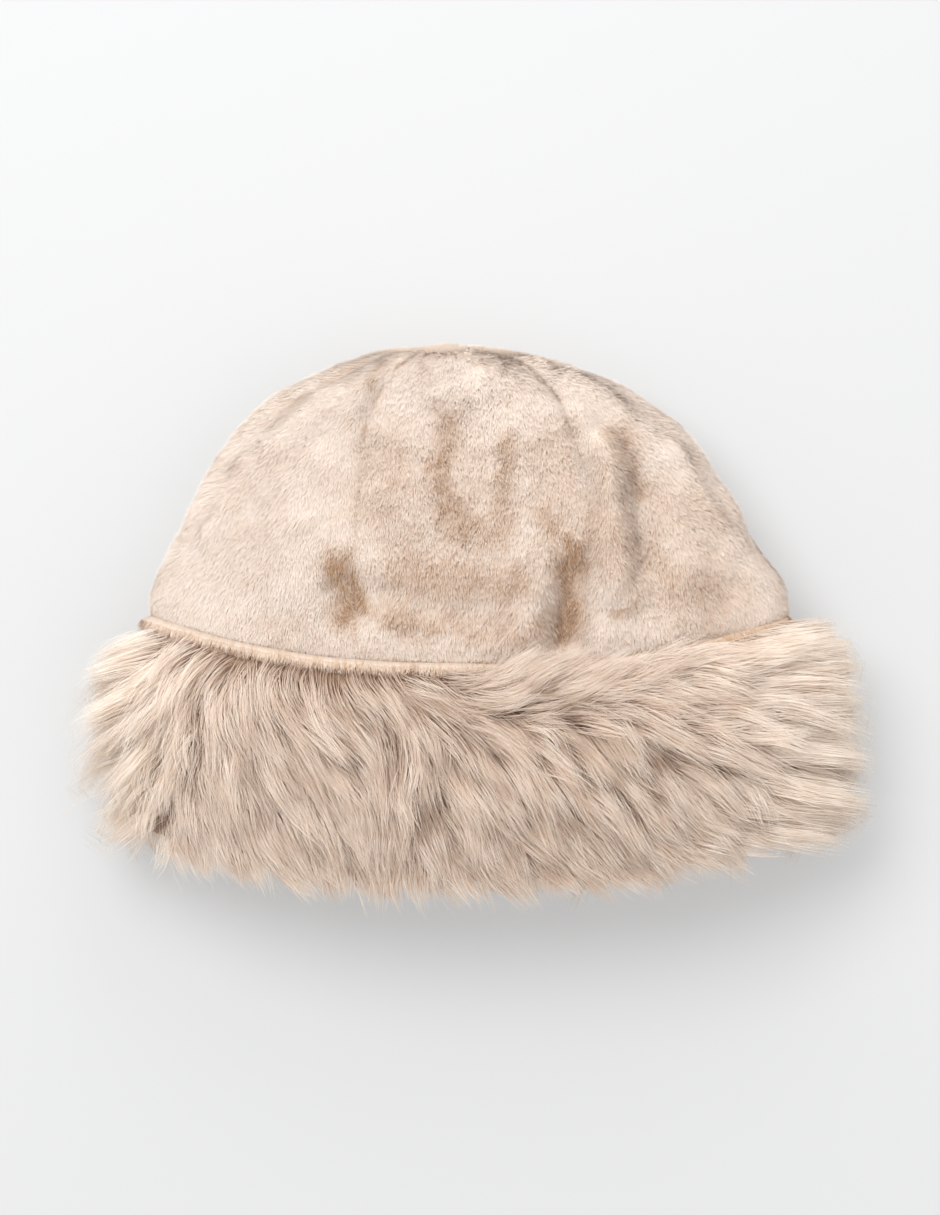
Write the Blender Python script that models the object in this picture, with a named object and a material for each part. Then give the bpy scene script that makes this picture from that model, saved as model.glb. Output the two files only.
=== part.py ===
"""A soft six-gore plush hat with a deep fur cuff, lying on its back. Metres, +Z up.

+Y points from the open mouth to the crown's tip and +X across the hat. The gores lie on a flattened dome whose
sections run from the hem to the tip, and the cuff is a ring of combed locks that carries the same line on.
The origin is the middle of the hat's footprint, on the surface that it lies on.
"""
import math
from collections import namedtuple

import bpy
import numpy as np

# Driving sizes of the crown
CROWN_WIDTH = 0.272
CROWN_HEIGHT = 0.115
CROWN_THICKNESS = 0.068
HEM_SAG = 0.020
PLUSH_WALL = 0.0045
SEAM_DEPTH = 0.0026
SEAM_SOFTNESS = 0.008
FOLD_DEPTH = 0.010

# Driving sizes of the welt and the cuff
WELT_HEIGHT = 0.0058
WELT_BULGE = 0.0012
CUFF_HEIGHT = 0.086
CUFF_WALL = 0.0045
FUR_DEPTH = 0.0268
LOCK_RELIEF = 0.0052
LOCK_TIP = 0.0105
PIECE_GAP = 0.0004

# How finely the surfaces are divided
SECTION_SAMPLES = 181
GORE_ROWS = 18
WIDE_GORE_COLUMNS = 12
NARROW_GORE_COLUMNS = 8
WELT_COLUMNS = 96
LOCKS_AROUND = 40
COLUMNS_PER_LOCK = 4
CUFF_LINING_ROWS = 4

# The crown's sections are superellipses of this power, and the last one leaves this small hole at the tip
SECTION_POWER = 2.55
TIP_PLACE = 0.985
LOCK_SEED = 7

PLUSH_COLOUR = (0.72, 0.60, 0.49, 1.0)
FUR_COLOUR = (0.62, 0.49, 0.38, 1.0)
PLUSH_ROUGHNESS = 0.9
FUR_ROUGHNESS = 0.75

# Sections of the crown from hem to tip. height is a share of CROWN_HEIGHT, width of half CROWN_WIDTH, top and
# floor of CROWN_THICKNESS, drift of CROWN_WIDTH. A floor below nought is pressed flat on the table. The last columns
# say where the seams run, as shares of the girth from the middle of the upper side: the two beside the front gore,
# the two at the sides and then, alike on the left and the right, those beside the back gore.
CrownSection = namedtuple(
    "CrownSection", "height width top floor drift front_left front_right side_left side_right back"
)
CROWN_SECTIONS = (
    CrownSection(0.000, 1.000, 0.91, 0.14, 0.000, 0.081, 0.081, 0.236, 0.228, 0.417),
    CrownSection(0.120, 0.985, 0.95, 0.06, -0.003, 0.082, 0.085, 0.228, 0.222, 0.417),
    CrownSection(0.290, 0.907, 1.00, -0.05, -0.007, 0.084, 0.093, 0.219, 0.219, 0.417),
    CrownSection(0.440, 0.835, 1.00, -0.08, -0.010, 0.086, 0.102, 0.208, 0.216, 0.417),
    CrownSection(0.580, 0.752, 0.98, -0.08, -0.013, 0.090, 0.108, 0.194, 0.209, 0.417),
    CrownSection(0.710, 0.655, 0.93, -0.05, -0.017, 0.094, 0.113, 0.179, 0.202, 0.417),
    CrownSection(0.820, 0.540, 0.86, 0.00, -0.020, 0.094, 0.121, 0.166, 0.197, 0.417),
    CrownSection(0.910, 0.375, 0.77, 0.10, -0.024, 0.092, 0.130, 0.158, 0.196, 0.417),
    CrownSection(0.970, 0.205, 0.66, 0.22, -0.028, 0.090, 0.138, 0.153, 0.198, 0.417),
    CrownSection(1.000, 0.020, 0.47, 0.40, -0.030, 0.090, 0.140, 0.150, 0.200, 0.417),
)

# Folds and dents of the upper side. x and x_end are shares of half CROWN_WIDTH from its middle, y and y_end of
# CROWN_HEIGHT from the hem's ends, rise of FOLD_DEPTH (below nought is a valley) and spread of CROWN_WIDTH.
Fold = namedtuple("Fold", "name x y x_end y_end rise spread")
FOLDS = (
    Fold("deep valley by the right seam", 0.31, 0.16, 0.29, -0.08, -0.95, 0.026),
    Fold("valley's left bank", 0.18, 0.12, 0.14, -0.04, 0.35, 0.034),
    Fold("dent under the left seam", -0.40, 0.10, -0.37, 0.03, -0.75, 0.026),
    Fold("ridge right of the right seam", 0.42, 0.62, 0.46, 0.10, 0.42, 0.030),
    Fold("valley right of the ridge", 0.53, 0.50, 0.59, 0.06, -0.34, 0.036),
    Fold("crushed patch in the middle", -0.05, 0.62, 0.04, 0.34, -0.36, 0.075),
    Fold("crease above the hem", -0.33, 0.10, 0.08, -0.02, -0.26, 0.026),
    Fold("smooth ridge on the left", -0.48, 0.72, -0.53, 0.14, 0.30, 0.050),
    Fold("shallow dip on the far left", -0.78, 0.40, -0.74, 0.08, -0.20, 0.060),
    Fold("shallow dip on the far right", 0.76, 0.46, 0.80, 0.10, -0.24, 0.050),
    Fold("ridge by the left side seam, upper", -0.24, 0.90, -0.60, 0.61, 0.30, 0.018),
    Fold("ridge by the left side seam, lower", -0.60, 0.61, -0.82, 0.30, 0.26, 0.018),
    Fold("ridge by the right side seam, upper", 0.32, 0.86, 0.62, 0.60, 0.30, 0.018),
    Fold("ridge by the right side seam, lower", 0.62, 0.60, 0.82, 0.28, 0.26, 0.018),
)

# Outline of the fur from the welt to the mouth. along is a share of CUFF_HEIGHT, and face and end are shares of
# FUR_DEPTH, on the upper and lower faces and at the cuff's two ends. locks says how strongly the locks stand out
# there, and turn is how far round the row's locks are moved, in locks, so that those of one tier lie between those of
# the last. A place above the welt is where the fur falls back over it.
FurRow = namedtuple("FurRow", "along face end locks turn")
FUR_ROWS = (
    FurRow(0.000, 0.00, 0.00, 0.0, 0.00),
    FurRow(-0.005, 0.13, 0.13, 0.0, 0.00),
    FurRow(-0.045, 0.24, 0.26, 0.0, 0.00),
    FurRow(-0.030, 0.44, 0.46, 0.4, 0.00),
    FurRow(0.060, 0.67, 0.68, 0.7, 0.00),
    FurRow(0.160, 0.81, 0.85, 0.9, 0.00),
    FurRow(0.260, 0.88, 0.95, 1.1, 0.00),
    FurRow(0.370, 0.90, 1.01, 0.5, 0.50),
    FurRow(0.480, 0.91, 1.06, 0.8, 0.50),
    FurRow(0.580, 0.91, 1.10, 1.1, 0.50),
    FurRow(0.690, 0.86, 1.14, 0.6, 0.00),
    FurRow(0.790, 0.79, 1.15, 1.0, 0.00),
    FurRow(0.890, 0.64, 1.12, 1.1, 0.00),
    FurRow(0.960, 0.44, 0.92, 0.8, 0.00),
    FurRow(0.985, 0.13, 0.40, 0.3, 0.00),
)
TIPS_FROM, TIPS_FULL = 0.78, 0.96

# A place round the cuff counts as its face where it is at least this level, and wholly as its end below the other
LEVEL_FACE, STEEP_END = 0.885, 0.115

# How the fur lies by the place across the hat, where minus one is the left end and one the right end. lean is how
# far a lock moves round the ring over the cuff's height, as a share of the girth, and depth a share of FUR_DEPTH.
Combing = namedtuple("Combing", "across lean depth")
COMBING = (
    Combing(-1.0, -0.055, 0.97),
    Combing(-0.5, -0.015, 0.99),
    Combing(0.0, 0.020, 1.00),
    Combing(0.5, 0.060, 1.02),
    Combing(1.0, 0.095, 1.03),
)

# Shape of the cuff's backing from the welt to the mouth, in the shares that the crown's sections use
Backing = namedtuple("Backing", "along width top floor")
BACKING = (
    Backing(0.00, 1.000, 0.91, 0.14),
    Backing(0.50, 0.995, 0.92, 0.15),
    Backing(1.00, 0.975, 0.91, 0.16),
)

# Each gore lies between two seams, on the left (-1) or the right (1) of the hat
Seam = namedtuple("Seam", "column side")
Gore = namedtuple("Gore", "name first_seam last_seam columns")
GORES = (
    Gore("panel_front", Seam("front_left", -1), Seam("front_right", 1), WIDE_GORE_COLUMNS),
    Gore("panel_front_right", Seam("front_right", 1), Seam("side_right", 1), WIDE_GORE_COLUMNS),
    Gore("panel_back_right", Seam("side_right", 1), Seam("back", 1), WIDE_GORE_COLUMNS),
    Gore("panel_back", Seam("back", 1), Seam("back", -1), NARROW_GORE_COLUMNS),
    Gore("panel_back_left", Seam("back", -1), Seam("side_left", -1), WIDE_GORE_COLUMNS),
    Gore("panel_front_left", Seam("side_left", -1), Seam("front_left", -1), WIDE_GORE_COLUMNS),
)


def clear_scene():
    """Removes the objects that the file starts with."""
    for item in list(bpy.data.objects):
        bpy.data.objects.remove(item, do_unlink=True)


def read_table(table, position):
    """Values of every column at a position from 0 to 1 down the table, on one smooth curve through its rows."""
    rows = np.array([list(row) for row in table], dtype=float)
    last = len(rows) - 1
    place = min(max(position, 0.0), 1.0) * last
    first = min(int(place), last - 1)
    step = place - first
    before = rows[max(first - 1, 0)]
    start, end = rows[first], rows[first + 1]
    after = rows[min(first + 2, last)]
    slope_in = (end - before) / 2
    slope_out = (after - start) / 2
    return (
        start * (2 * step**3 - 3 * step**2 + 1)
        + slope_in * (step**3 - 2 * step**2 + step)
        + end * (3 * step**2 - 2 * step**3)
        + slope_out * (step**3 - step**2)
    )


def flattened_section(half_width, top, floor):
    """Half a section, from the middle of its upper side round to the middle of its lower side.

    Returns the share of the girth at each sample, its x and its z. What would lie under the table lies on it.
    """
    angle = np.linspace(0, math.pi, SECTION_SAMPLES)
    middle = (top + floor) / 2
    rise = (top - floor) / 2
    x = half_width * np.abs(np.sin(angle)) ** (2 / SECTION_POWER)
    z = middle + rise * np.sign(np.cos(angle)) * np.abs(np.cos(angle)) ** (2 / SECTION_POWER)
    z = np.maximum(z, 0.0)
    run = np.concatenate(([0.0], np.cumsum(np.hypot(np.diff(x), np.diff(z)))))
    return run / run[-1] / 2, x, z


def around_section(half_width, top, floor, shares):
    """Points of a section at shares of its girth from -0.5 to 0.5, where nought is the middle of the upper side."""
    run, x, z = flattened_section(half_width, top, floor)
    turned = (np.asarray(shares) + 0.5) % 1.0 - 0.5
    side = np.where(turned < 0, -1.0, 1.0)
    return np.interp(np.abs(turned), run, x) * side, np.interp(np.abs(turned), run, z)


def section_girth(half_width, top, floor):
    """Length once round a section."""
    _, x, z = flattened_section(half_width, top, floor)
    return 2 * float(np.sum(np.hypot(np.diff(x), np.diff(z))))


def crown_size(row):
    """Half width, top and floor of a row of the crown or of the cuff's backing, in metres."""
    return row.width * CROWN_WIDTH / 2, row.top * CROWN_THICKNESS, row.floor * CROWN_THICKNESS


def hem_line(x):
    """How far the hem hangs below its ends at a place across the hat."""
    across = np.clip(np.abs(x) / (CROWN_WIDTH / 2), 0.0, 1.0)
    return -HEM_SAG * (1 - across**2.4)


def crown_row(position, shares):
    """One row of points round the crown's bare form."""
    row = CrownSection(*read_table(CROWN_SECTIONS, position))
    x, z = around_section(*crown_size(row), shares)
    fade = max(0.0, 1 - row.height) ** 1.5
    y = row.height * CROWN_HEIGHT + hem_line(x) * fade
    return np.stack([x + row.drift * CROWN_WIDTH, y, z], axis=-1)


def crown_normals(position, shares):
    """Outward unit normals of the crown's bare form along one row.

    At the hem they have no part along the hat, so the wall's rim is square to the welt that it meets.
    """
    share_step, row_step = 0.25 / SECTION_SAMPLES, 0.5 / SECTION_SAMPLES
    across = crown_row(position, shares + share_step) - crown_row(position, shares - share_step)
    nearer, further = max(position - row_step, 0.0), min(position + row_step, 1.0)
    along = crown_row(further, shares) - crown_row(nearer, shares)
    normal = np.cross(across, along)
    if position == 0.0:
        normal[:, 1] = 0.0
    return normal / np.maximum(np.linalg.norm(normal, axis=-1, keepdims=True), 1e-12)


def fold_relief(points, facing_up):
    """How far the folds and dents raise the upper side at each point."""
    relief = np.zeros(points.shape[:-1])
    for fold in FOLDS:
        start = np.array([fold.x * CROWN_WIDTH / 2, fold.y * CROWN_HEIGHT])
        end = np.array([fold.x_end * CROWN_WIDTH / 2, fold.y_end * CROWN_HEIGHT])
        run = end - start
        place = np.clip(((points[..., :2] - start) @ run) / (run @ run), 0.0, 1.0)
        nearest = start + place[..., None] * run
        distance = np.linalg.norm(points[..., :2] - nearest, axis=-1)
        relief += fold.rise * FOLD_DEPTH * np.exp(-((distance / (fold.spread * CROWN_WIDTH)) ** 2))
    return relief * np.clip((facing_up - 0.15) / 0.5, 0.0, 1.0)


def seam_spacing(count):
    """Places from 0 to 1 across a gore, closer together beside its seams."""
    return 0.5 - 0.5 * np.cos(np.linspace(0, math.pi, count + 1))


def gore_row(position, gore):
    """One row of a gore between its seams: its points, its normals and how far each lies from a seam."""
    row = CrownSection(*read_table(CROWN_SECTIONS, position))
    girth = section_girth(*crown_size(row))
    half_gap = PIECE_GAP / 2 / girth
    start = gore.first_seam.side * getattr(row, gore.first_seam.column) + half_gap
    end = gore.last_seam.side * getattr(row, gore.last_seam.column) - half_gap
    end += 1.0 if end < start else 0.0
    shares = start + (end - start) * seam_spacing(gore.columns)
    from_seam = np.minimum(shares - start, end - shares) * girth
    return crown_row(position, shares), crown_normals(position, shares), from_seam


def gore_grids(gore):
    """Outer and inner grids of one gore, with its folds, and sunk into the seams on either side."""
    rows = [gore_row(position, gore) for position in np.linspace(0.0, TIP_PLACE, GORE_ROWS + 1)]
    bare, normal, from_seam = (np.array(part) for part in zip(*rows))
    folded = bare + normal * fold_relief(bare, normal[..., 2])[..., None]
    dip = SEAM_DEPTH * np.clip(1 - from_seam / SEAM_SOFTNESS, 0.0, 1.0) ** 2
    outer = folded - normal * dip[..., None]
    inner = folded - normal * PLUSH_WALL
    outer[..., 2] = np.maximum(outer[..., 2], 0.0)
    inner[..., 2] = np.maximum(inner[..., 2], PLUSH_WALL)
    return outer, inner


def shell_mesh(outer, inner):
    """Vertices and faces of a wall between two grids, closed along its four sides."""
    rows, columns = outer.shape[:2]
    vertices = np.concatenate([outer.reshape(-1, 3), inner.reshape(-1, 3)])
    back = rows * columns

    def at(row, column):
        return row * columns + column

    faces = []
    for row in range(rows - 1):
        for column in range(columns - 1):
            corners = (at(row, column), at(row, column + 1), at(row + 1, column + 1), at(row + 1, column))
            faces.append(corners)
            faces.append(tuple(back + corner for corner in reversed(corners)))
    border = [at(0, column) for column in range(columns)]
    border += [at(row, columns - 1) for row in range(1, rows)]
    border += [at(rows - 1, column) for column in range(columns - 2, -1, -1)]
    border += [at(row, 0) for row in range(rows - 2, 0, -1)]
    for index, corner in enumerate(border):
        following = border[(index + 1) % len(border)]
        faces.append((following, corner, back + corner, back + following))
    return vertices, faces


def ring_mesh(rings):
    """Vertices and faces of a closed ring: each row is one loop round the hat, and the last row meets the first."""
    rows, columns = rings.shape[:2]
    faces = []
    for row in range(rows):
        below = (row + 1) % rows
        for column in range(columns):
            beside = (column + 1) % columns
            corners = ((row, column), (below, column), (below, beside), (row, beside))
            faces.append(tuple(line * columns + place for line, place in corners))
    return rings.reshape(-1, 3), faces


def ring_run(size, shares):
    """Unit directions round a section of the cuff, as x and z, at shares of its girth."""
    step = 0.25 / SECTION_SAMPLES
    x_next, z_next = around_section(*size, shares + step)
    x_last, z_last = around_section(*size, shares - step)
    run = np.stack([x_next - x_last, z_next - z_last], axis=-1)
    return run / np.maximum(np.linalg.norm(run, axis=-1, keepdims=True), 1e-12)


def cuff_row(along, out, shares):
    """One loop round the cuff at shares of its girth: along from the hem to the mouth and out from the backing."""
    size = crown_size(Backing(*read_table(BACKING, float(np.mean(along)) / CUFF_HEIGHT)))
    x, z = around_section(*size, shares)
    run = ring_run(size, shares)
    return np.stack([x - run[..., 1] * out, hem_line(x) - along, z + run[..., 0] * out], axis=-1)


def welt_rings():
    """Loops of the narrow plush strip that is sewn between the crown and the cuff."""
    shares = np.linspace(-0.5, 0.5, WELT_COLUMNS, endpoint=False)
    start, end = PIECE_GAP, WELT_HEIGHT
    middle = (start + end) / 2
    outline = (
        (start, -SEAM_DEPTH), (middle, WELT_BULGE), (end, -SEAM_DEPTH), (end, -PLUSH_WALL), (start, -PLUSH_WALL)
    )
    return np.array([cuff_row(along, out, shares) for along, out in outline])


def combing_at(shares):
    """How the fur leans and how deep it is at each place round the ring."""
    across, _ = around_section(1.0, CROWN_THICKNESS, 0.0, shares)
    table = np.array(COMBING)
    return np.interp(across, table[:, 0], table[:, 1]), np.interp(across, table[:, 0], table[:, 2])


def end_share(shares):
    """How far each place round the ring belongs to the cuff's ends, from 0 on its faces to 1."""
    level = np.abs(ring_run(crown_size(BACKING[0]), shares)[..., 0])
    return np.clip((LEVEL_FACE - level) / (LEVEL_FACE - STEEP_END), 0.0, 1.0)


def fur_rings():
    """Loops of the fur ring: its combed outer side with pointed tips, and then its plain inner side."""
    chance = np.random.default_rng(LOCK_SEED)
    columns = LOCKS_AROUND * COLUMNS_PER_LOCK
    shares = np.linspace(-0.5, 0.5, columns, endpoint=False)
    lock_place = (np.arange(columns) + 0.5) / COLUMNS_PER_LOCK
    thick = chance.uniform(0.6, 1.4, (2, LOCKS_AROUND))
    long = chance.uniform(0.35, 1.0, LOCKS_AROUND)
    lean, depth = combing_at(shares)
    start = WELT_HEIGHT + PIECE_GAP
    rings = []
    for row in FUR_ROWS:
        number = np.floor(lock_place + row.turn).astype(int) % LOCKS_AROUND
        back = np.sin(math.pi * ((lock_place + row.turn) % 1.0)) ** 1.3
        relief = LOCK_RELIEF * row.locks * thick[int(row.turn > 0), number] * (back - 0.5)
        tips = max(0.0, (row.along - TIPS_FROM) / (TIPS_FULL - TIPS_FROM))
        along = start + row.along * CUFF_HEIGHT + LOCK_TIP * tips * long[number] * back
        turned = shares + lean * max(row.along, 0.0)
        out = (row.face + (row.end - row.face) * end_share(turned)) * depth * FUR_DEPTH
        ring = cuff_row(along, out + relief, turned)
        ring[:, 2] = np.maximum(ring[:, 2], 0.0)
        rings.append(ring)
    for place in np.linspace(FUR_ROWS[-1].along, 0.0, CUFF_LINING_ROWS):
        rings.append(cuff_row(start + place * CUFF_HEIGHT, -CUFF_WALL, shares + lean * place))
    return np.array(rings)


def cloth_material(name, colour, roughness):
    """A cloth finish of one colour."""
    material = bpy.data.materials.new(name)
    material.use_nodes = True
    shader = material.node_tree.nodes["Principled BSDF"]
    shader.inputs["Base Color"].default_value = colour
    shader.inputs["Roughness"].default_value = roughness
    shader.inputs["Metallic"].default_value = 0.0
    material.diffuse_color = colour
    return material


def add_piece(name, vertices, faces, hat, material):
    """One named piece under the hat's empty, with its origin at the middle of its own box."""
    middle = (vertices.min(axis=0) + vertices.max(axis=0)) / 2
    mesh = bpy.data.meshes.new(name)
    mesh.from_pydata((vertices - middle).tolist(), [], faces)
    mesh.materials.append(material)
    mesh.shade_smooth()
    piece = bpy.data.objects.new(name, mesh)
    piece.location = middle
    piece.parent = hat
    bpy.context.collection.objects.link(piece)


def build_hat():
    """Models every piece and puts the middle of the hat's footprint at the origin."""
    clear_scene()
    shapes = {gore.name: shell_mesh(*gore_grids(gore)) for gore in GORES}
    shapes["hem_welt"] = ring_mesh(welt_rings())
    shapes["fur_cuff"] = ring_mesh(fur_rings())
    points = np.concatenate([vertices for vertices, _ in shapes.values()])
    middle = (points.min(axis=0) + points.max(axis=0)) / 2
    hat = bpy.data.objects.new("hat", None)
    hat.location = (-middle[0], -middle[1], 0.0)
    bpy.context.collection.objects.link(hat)
    for name, (vertices, faces) in shapes.items():
        is_fur = name == "fur_cuff"
        colour, roughness = (FUR_COLOUR, FUR_ROUGHNESS) if is_fur else (PLUSH_COLOUR, PLUSH_ROUGHNESS)
        add_piece(name, vertices, faces, hat, cloth_material(name + "_cloth", colour, roughness))


build_hat()
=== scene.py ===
"""Looks of a soft six-gore plush hat with a deep fur cuff, lying on its back and seen from straight above.

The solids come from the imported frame. Each gore, the welt and the cuff is replaced by a finer piece of the
same form. The gores carry a short pile, and the cuff long hairs that are combed along a chart of directions.
"""
from __future__ import annotations

import logging
import math
from dataclasses import dataclass, field
from enum import Enum
from typing import NamedTuple, Sequence

import bpy
import numpy as np
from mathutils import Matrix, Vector


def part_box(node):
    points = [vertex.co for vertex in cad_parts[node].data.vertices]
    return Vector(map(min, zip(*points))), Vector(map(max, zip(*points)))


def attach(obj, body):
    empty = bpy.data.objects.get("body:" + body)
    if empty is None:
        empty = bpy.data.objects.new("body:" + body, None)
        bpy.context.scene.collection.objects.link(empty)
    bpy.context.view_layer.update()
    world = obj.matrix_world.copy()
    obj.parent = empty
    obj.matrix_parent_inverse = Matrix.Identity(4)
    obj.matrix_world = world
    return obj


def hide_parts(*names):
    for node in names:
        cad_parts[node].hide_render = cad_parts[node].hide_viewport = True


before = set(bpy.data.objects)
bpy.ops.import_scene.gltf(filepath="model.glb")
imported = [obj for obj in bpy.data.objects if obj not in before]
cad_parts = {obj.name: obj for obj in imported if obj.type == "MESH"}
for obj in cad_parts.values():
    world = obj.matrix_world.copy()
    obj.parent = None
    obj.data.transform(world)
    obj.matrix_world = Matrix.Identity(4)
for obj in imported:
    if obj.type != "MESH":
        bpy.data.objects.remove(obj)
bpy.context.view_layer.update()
LOG = logging.getLogger("hat")
MILLIMETRES = 1000


class CrownSection(NamedTuple):
    """A section of the crown. Its columns are shares, as in the solids; the last five place the seams."""

    height: float
    width: float
    top: float
    floor: float
    drift: float
    front_left: float
    front_right: float
    side_left: float
    side_right: float
    back: float


class Fold(NamedTuple):
    """A fold or dent of the upper side, from one place to another, as shares of the crown's sizes."""

    x: float
    y: float
    x_end: float
    y_end: float
    rise: float
    spread: float


class Backing(NamedTuple):
    """A section of the cuff's backing, in the shares that the crown's sections use."""

    along: float
    width: float
    top: float
    floor: float


class FurDepth(NamedTuple):
    """How far the fur stands out at a place along the cuff, on its upper side and at its ends."""

    along: float
    top: float
    side: float


class Comb(NamedTuple):
    """Direction of the hairs at a place across the cuff: degrees from straight down, to the photo's right."""

    across: float
    hem: float
    middle: float
    edge: float


class FurPaintedShade(NamedTuple):
    """How much darker and warmer painted shade makes the hairs at a place across the cuff, from 0 to 1."""

    across: float
    depth: float


class Stroke(NamedTuple):
    """A stroke on the plan, in millimetres from the crown's middle and its hem's ends.

    Its strength is a share from 0 to 1, or for a crease a height in millimetres.
    """

    x: float
    y: float
    x_end: float
    y_end: float
    spread: float
    strength: float

    def nearness(self, points: np.ndarray) -> np.ndarray:
        """How near each point lies to the stroke, from 1 on it to 0 well away."""
        start = np.array([self.x, self.y]) / MILLIMETRES
        end = np.array([self.x_end, self.y_end]) / MILLIMETRES
        return stroke_weight(points, start, end, self.spread / MILLIMETRES)


class Light(NamedTuple):
    """A round soft light: where it hangs in metres, its size in metres and its power in watts."""

    name: str
    place: tuple[float, float, float]
    size: float
    power: float


CROWN_SECTIONS = (
    CrownSection(0.000, 1.000, 0.91, 0.14, 0.000, 0.081, 0.081, 0.236, 0.228, 0.417),
    CrownSection(0.120, 0.985, 0.95, 0.06, -0.003, 0.082, 0.085, 0.228, 0.222, 0.417),
    CrownSection(0.290, 0.907, 1.00, -0.05, -0.007, 0.084, 0.093, 0.219, 0.219, 0.417),
    CrownSection(0.440, 0.835, 1.00, -0.08, -0.010, 0.086, 0.102, 0.208, 0.216, 0.417),
    CrownSection(0.580, 0.752, 0.98, -0.08, -0.013, 0.090, 0.108, 0.194, 0.209, 0.417),
    CrownSection(0.710, 0.655, 0.93, -0.05, -0.017, 0.094, 0.113, 0.179, 0.202, 0.417),
    CrownSection(0.820, 0.540, 0.86, 0.00, -0.020, 0.094, 0.121, 0.166, 0.197, 0.417),
    CrownSection(0.910, 0.375, 0.77, 0.10, -0.024, 0.092, 0.130, 0.158, 0.196, 0.417),
    CrownSection(0.970, 0.205, 0.66, 0.22, -0.028, 0.090, 0.138, 0.153, 0.198, 0.417),
    CrownSection(1.000, 0.020, 0.47, 0.40, -0.030, 0.090, 0.140, 0.150, 0.200, 0.417),
)
FOLDS = (
    Fold(0.31, 0.16, 0.29, -0.08, -0.95, 0.026),
    Fold(0.18, 0.12, 0.14, -0.04, 0.35, 0.034),
    Fold(-0.40, 0.10, -0.37, 0.03, -0.75, 0.026),
    Fold(0.42, 0.62, 0.46, 0.10, 0.42, 0.030),
    Fold(0.53, 0.50, 0.59, 0.06, -0.34, 0.036),
    Fold(-0.05, 0.62, 0.04, 0.34, -0.36, 0.075),
    Fold(-0.33, 0.10, 0.08, -0.02, -0.26, 0.026),
    Fold(-0.48, 0.72, -0.53, 0.14, 0.30, 0.050),
    Fold(-0.78, 0.40, -0.74, 0.08, -0.20, 0.060),
    Fold(0.76, 0.46, 0.80, 0.10, -0.24, 0.050),
    Fold(-0.24, 0.90, -0.60, 0.61, 0.30, 0.018),
    Fold(-0.60, 0.61, -0.82, 0.30, 0.26, 0.018),
    Fold(0.32, 0.86, 0.62, 0.60, 0.30, 0.018),
    Fold(0.62, 0.60, 0.82, 0.28, 0.26, 0.018),
)
BACKING = (
    Backing(0.00, 1.000, 0.91, 0.14),
    Backing(0.50, 0.995, 0.92, 0.15),
    Backing(1.00, 0.975, 0.91, 0.16),
)
FUR_DEPTHS = (
    FurDepth(-0.200, 0.30, 0.22),
    FurDepth(-0.080, 0.40, 0.46),
    FurDepth(0.000, 0.52, 0.72),
    FurDepth(0.060, 0.72, 0.86),
    FurDepth(0.105, 0.80, 0.95),
    FurDepth(0.170, 0.90, 1.02),
    FurDepth(0.240, 0.95, 1.08),
    FurDepth(0.400, 1.00, 1.17),
    FurDepth(0.530, 1.02, 1.27),
    FurDepth(0.760, 0.94, 1.34),
    FurDepth(0.900, 0.72, 1.36),
    FurDepth(0.980, 0.56, 1.30),
    FurDepth(1.050, 0.40, 1.18),
    FurDepth(1.150, 0.20, 0.94),
    FurDepth(1.300, 0.05, 0.45),
)
# How full the fur is at places across the cuff, as shares of its half width.
FULLNESS_PLACES = (-0.8, 0.0, 0.8)
SIDE_FULLNESS = (1.13, 1.00, 1.22)
# How much longer the hairs near the rim are at places across the cuff, in metres.
LONGER_PLACES = (-0.15, -0.11, 0.0, 0.03, 0.16)
LONGER_SHARES = (0.20, 0.03, 0.03, 0.16, 0.20)
COMBING = (
    Comb(-1.00, -54, -46, -40),
    Comb(-0.90, -48, -40, -28),
    Comb(-0.78, -42, -26, -8),
    Comb(-0.66, -24, -4, 12),
    Comb(-0.54, -8, 22, 22),
    Comb(-0.44, 10, 44, 26),
    Comb(-0.33, 34, 48, 22),
    Comb(-0.25, 52, 42, 8),
    Comb(-0.20, 58, 6, 4),
    Comb(-0.12, 66, 16, 12),
    Comb(-0.04, 80, 36, 22),
    Comb(0.05, 112, 42, 26),
    Comb(0.16, 122, 44, 32),
    Comb(0.28, 112, 50, 36),
    Comb(0.40, 102, 42, 38),
    Comb(0.50, 96, 50, 42),
    Comb(0.58, 84, 56, 45),
    Comb(0.66, 78, 60, 48),
    Comb(0.78, 88, 64, 52),
    Comb(0.90, 96, 66, 54),
    Comb(1.00, 96, 66, 54),
)
# Painted shade across the cuff: the hairs are darker and warmer in the middle and paler towards the ends.
FUR_PAINTED_SHADE = (
    FurPaintedShade(-1.00, 0.00),
    FurPaintedShade(-0.84, 0.05),
    FurPaintedShade(-0.70, 0.55),
    FurPaintedShade(-0.35, 0.72),
    FurPaintedShade(-0.10, 0.80),
    FurPaintedShade(0.40, 0.85),
    FurPaintedShade(0.62, 0.68),
    FurPaintedShade(0.82, 0.15),
    FurPaintedShade(1.00, 0.00),
)
# How strong the painted shade in the crease along the hem is at places across the hat, in metres.
HEM_CREASE_SHADE = ((-0.120, 0.20), (-0.060, 0.45), (-0.020, 0.80), (0.020, 0.70), (0.120, 0.55))
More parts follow.
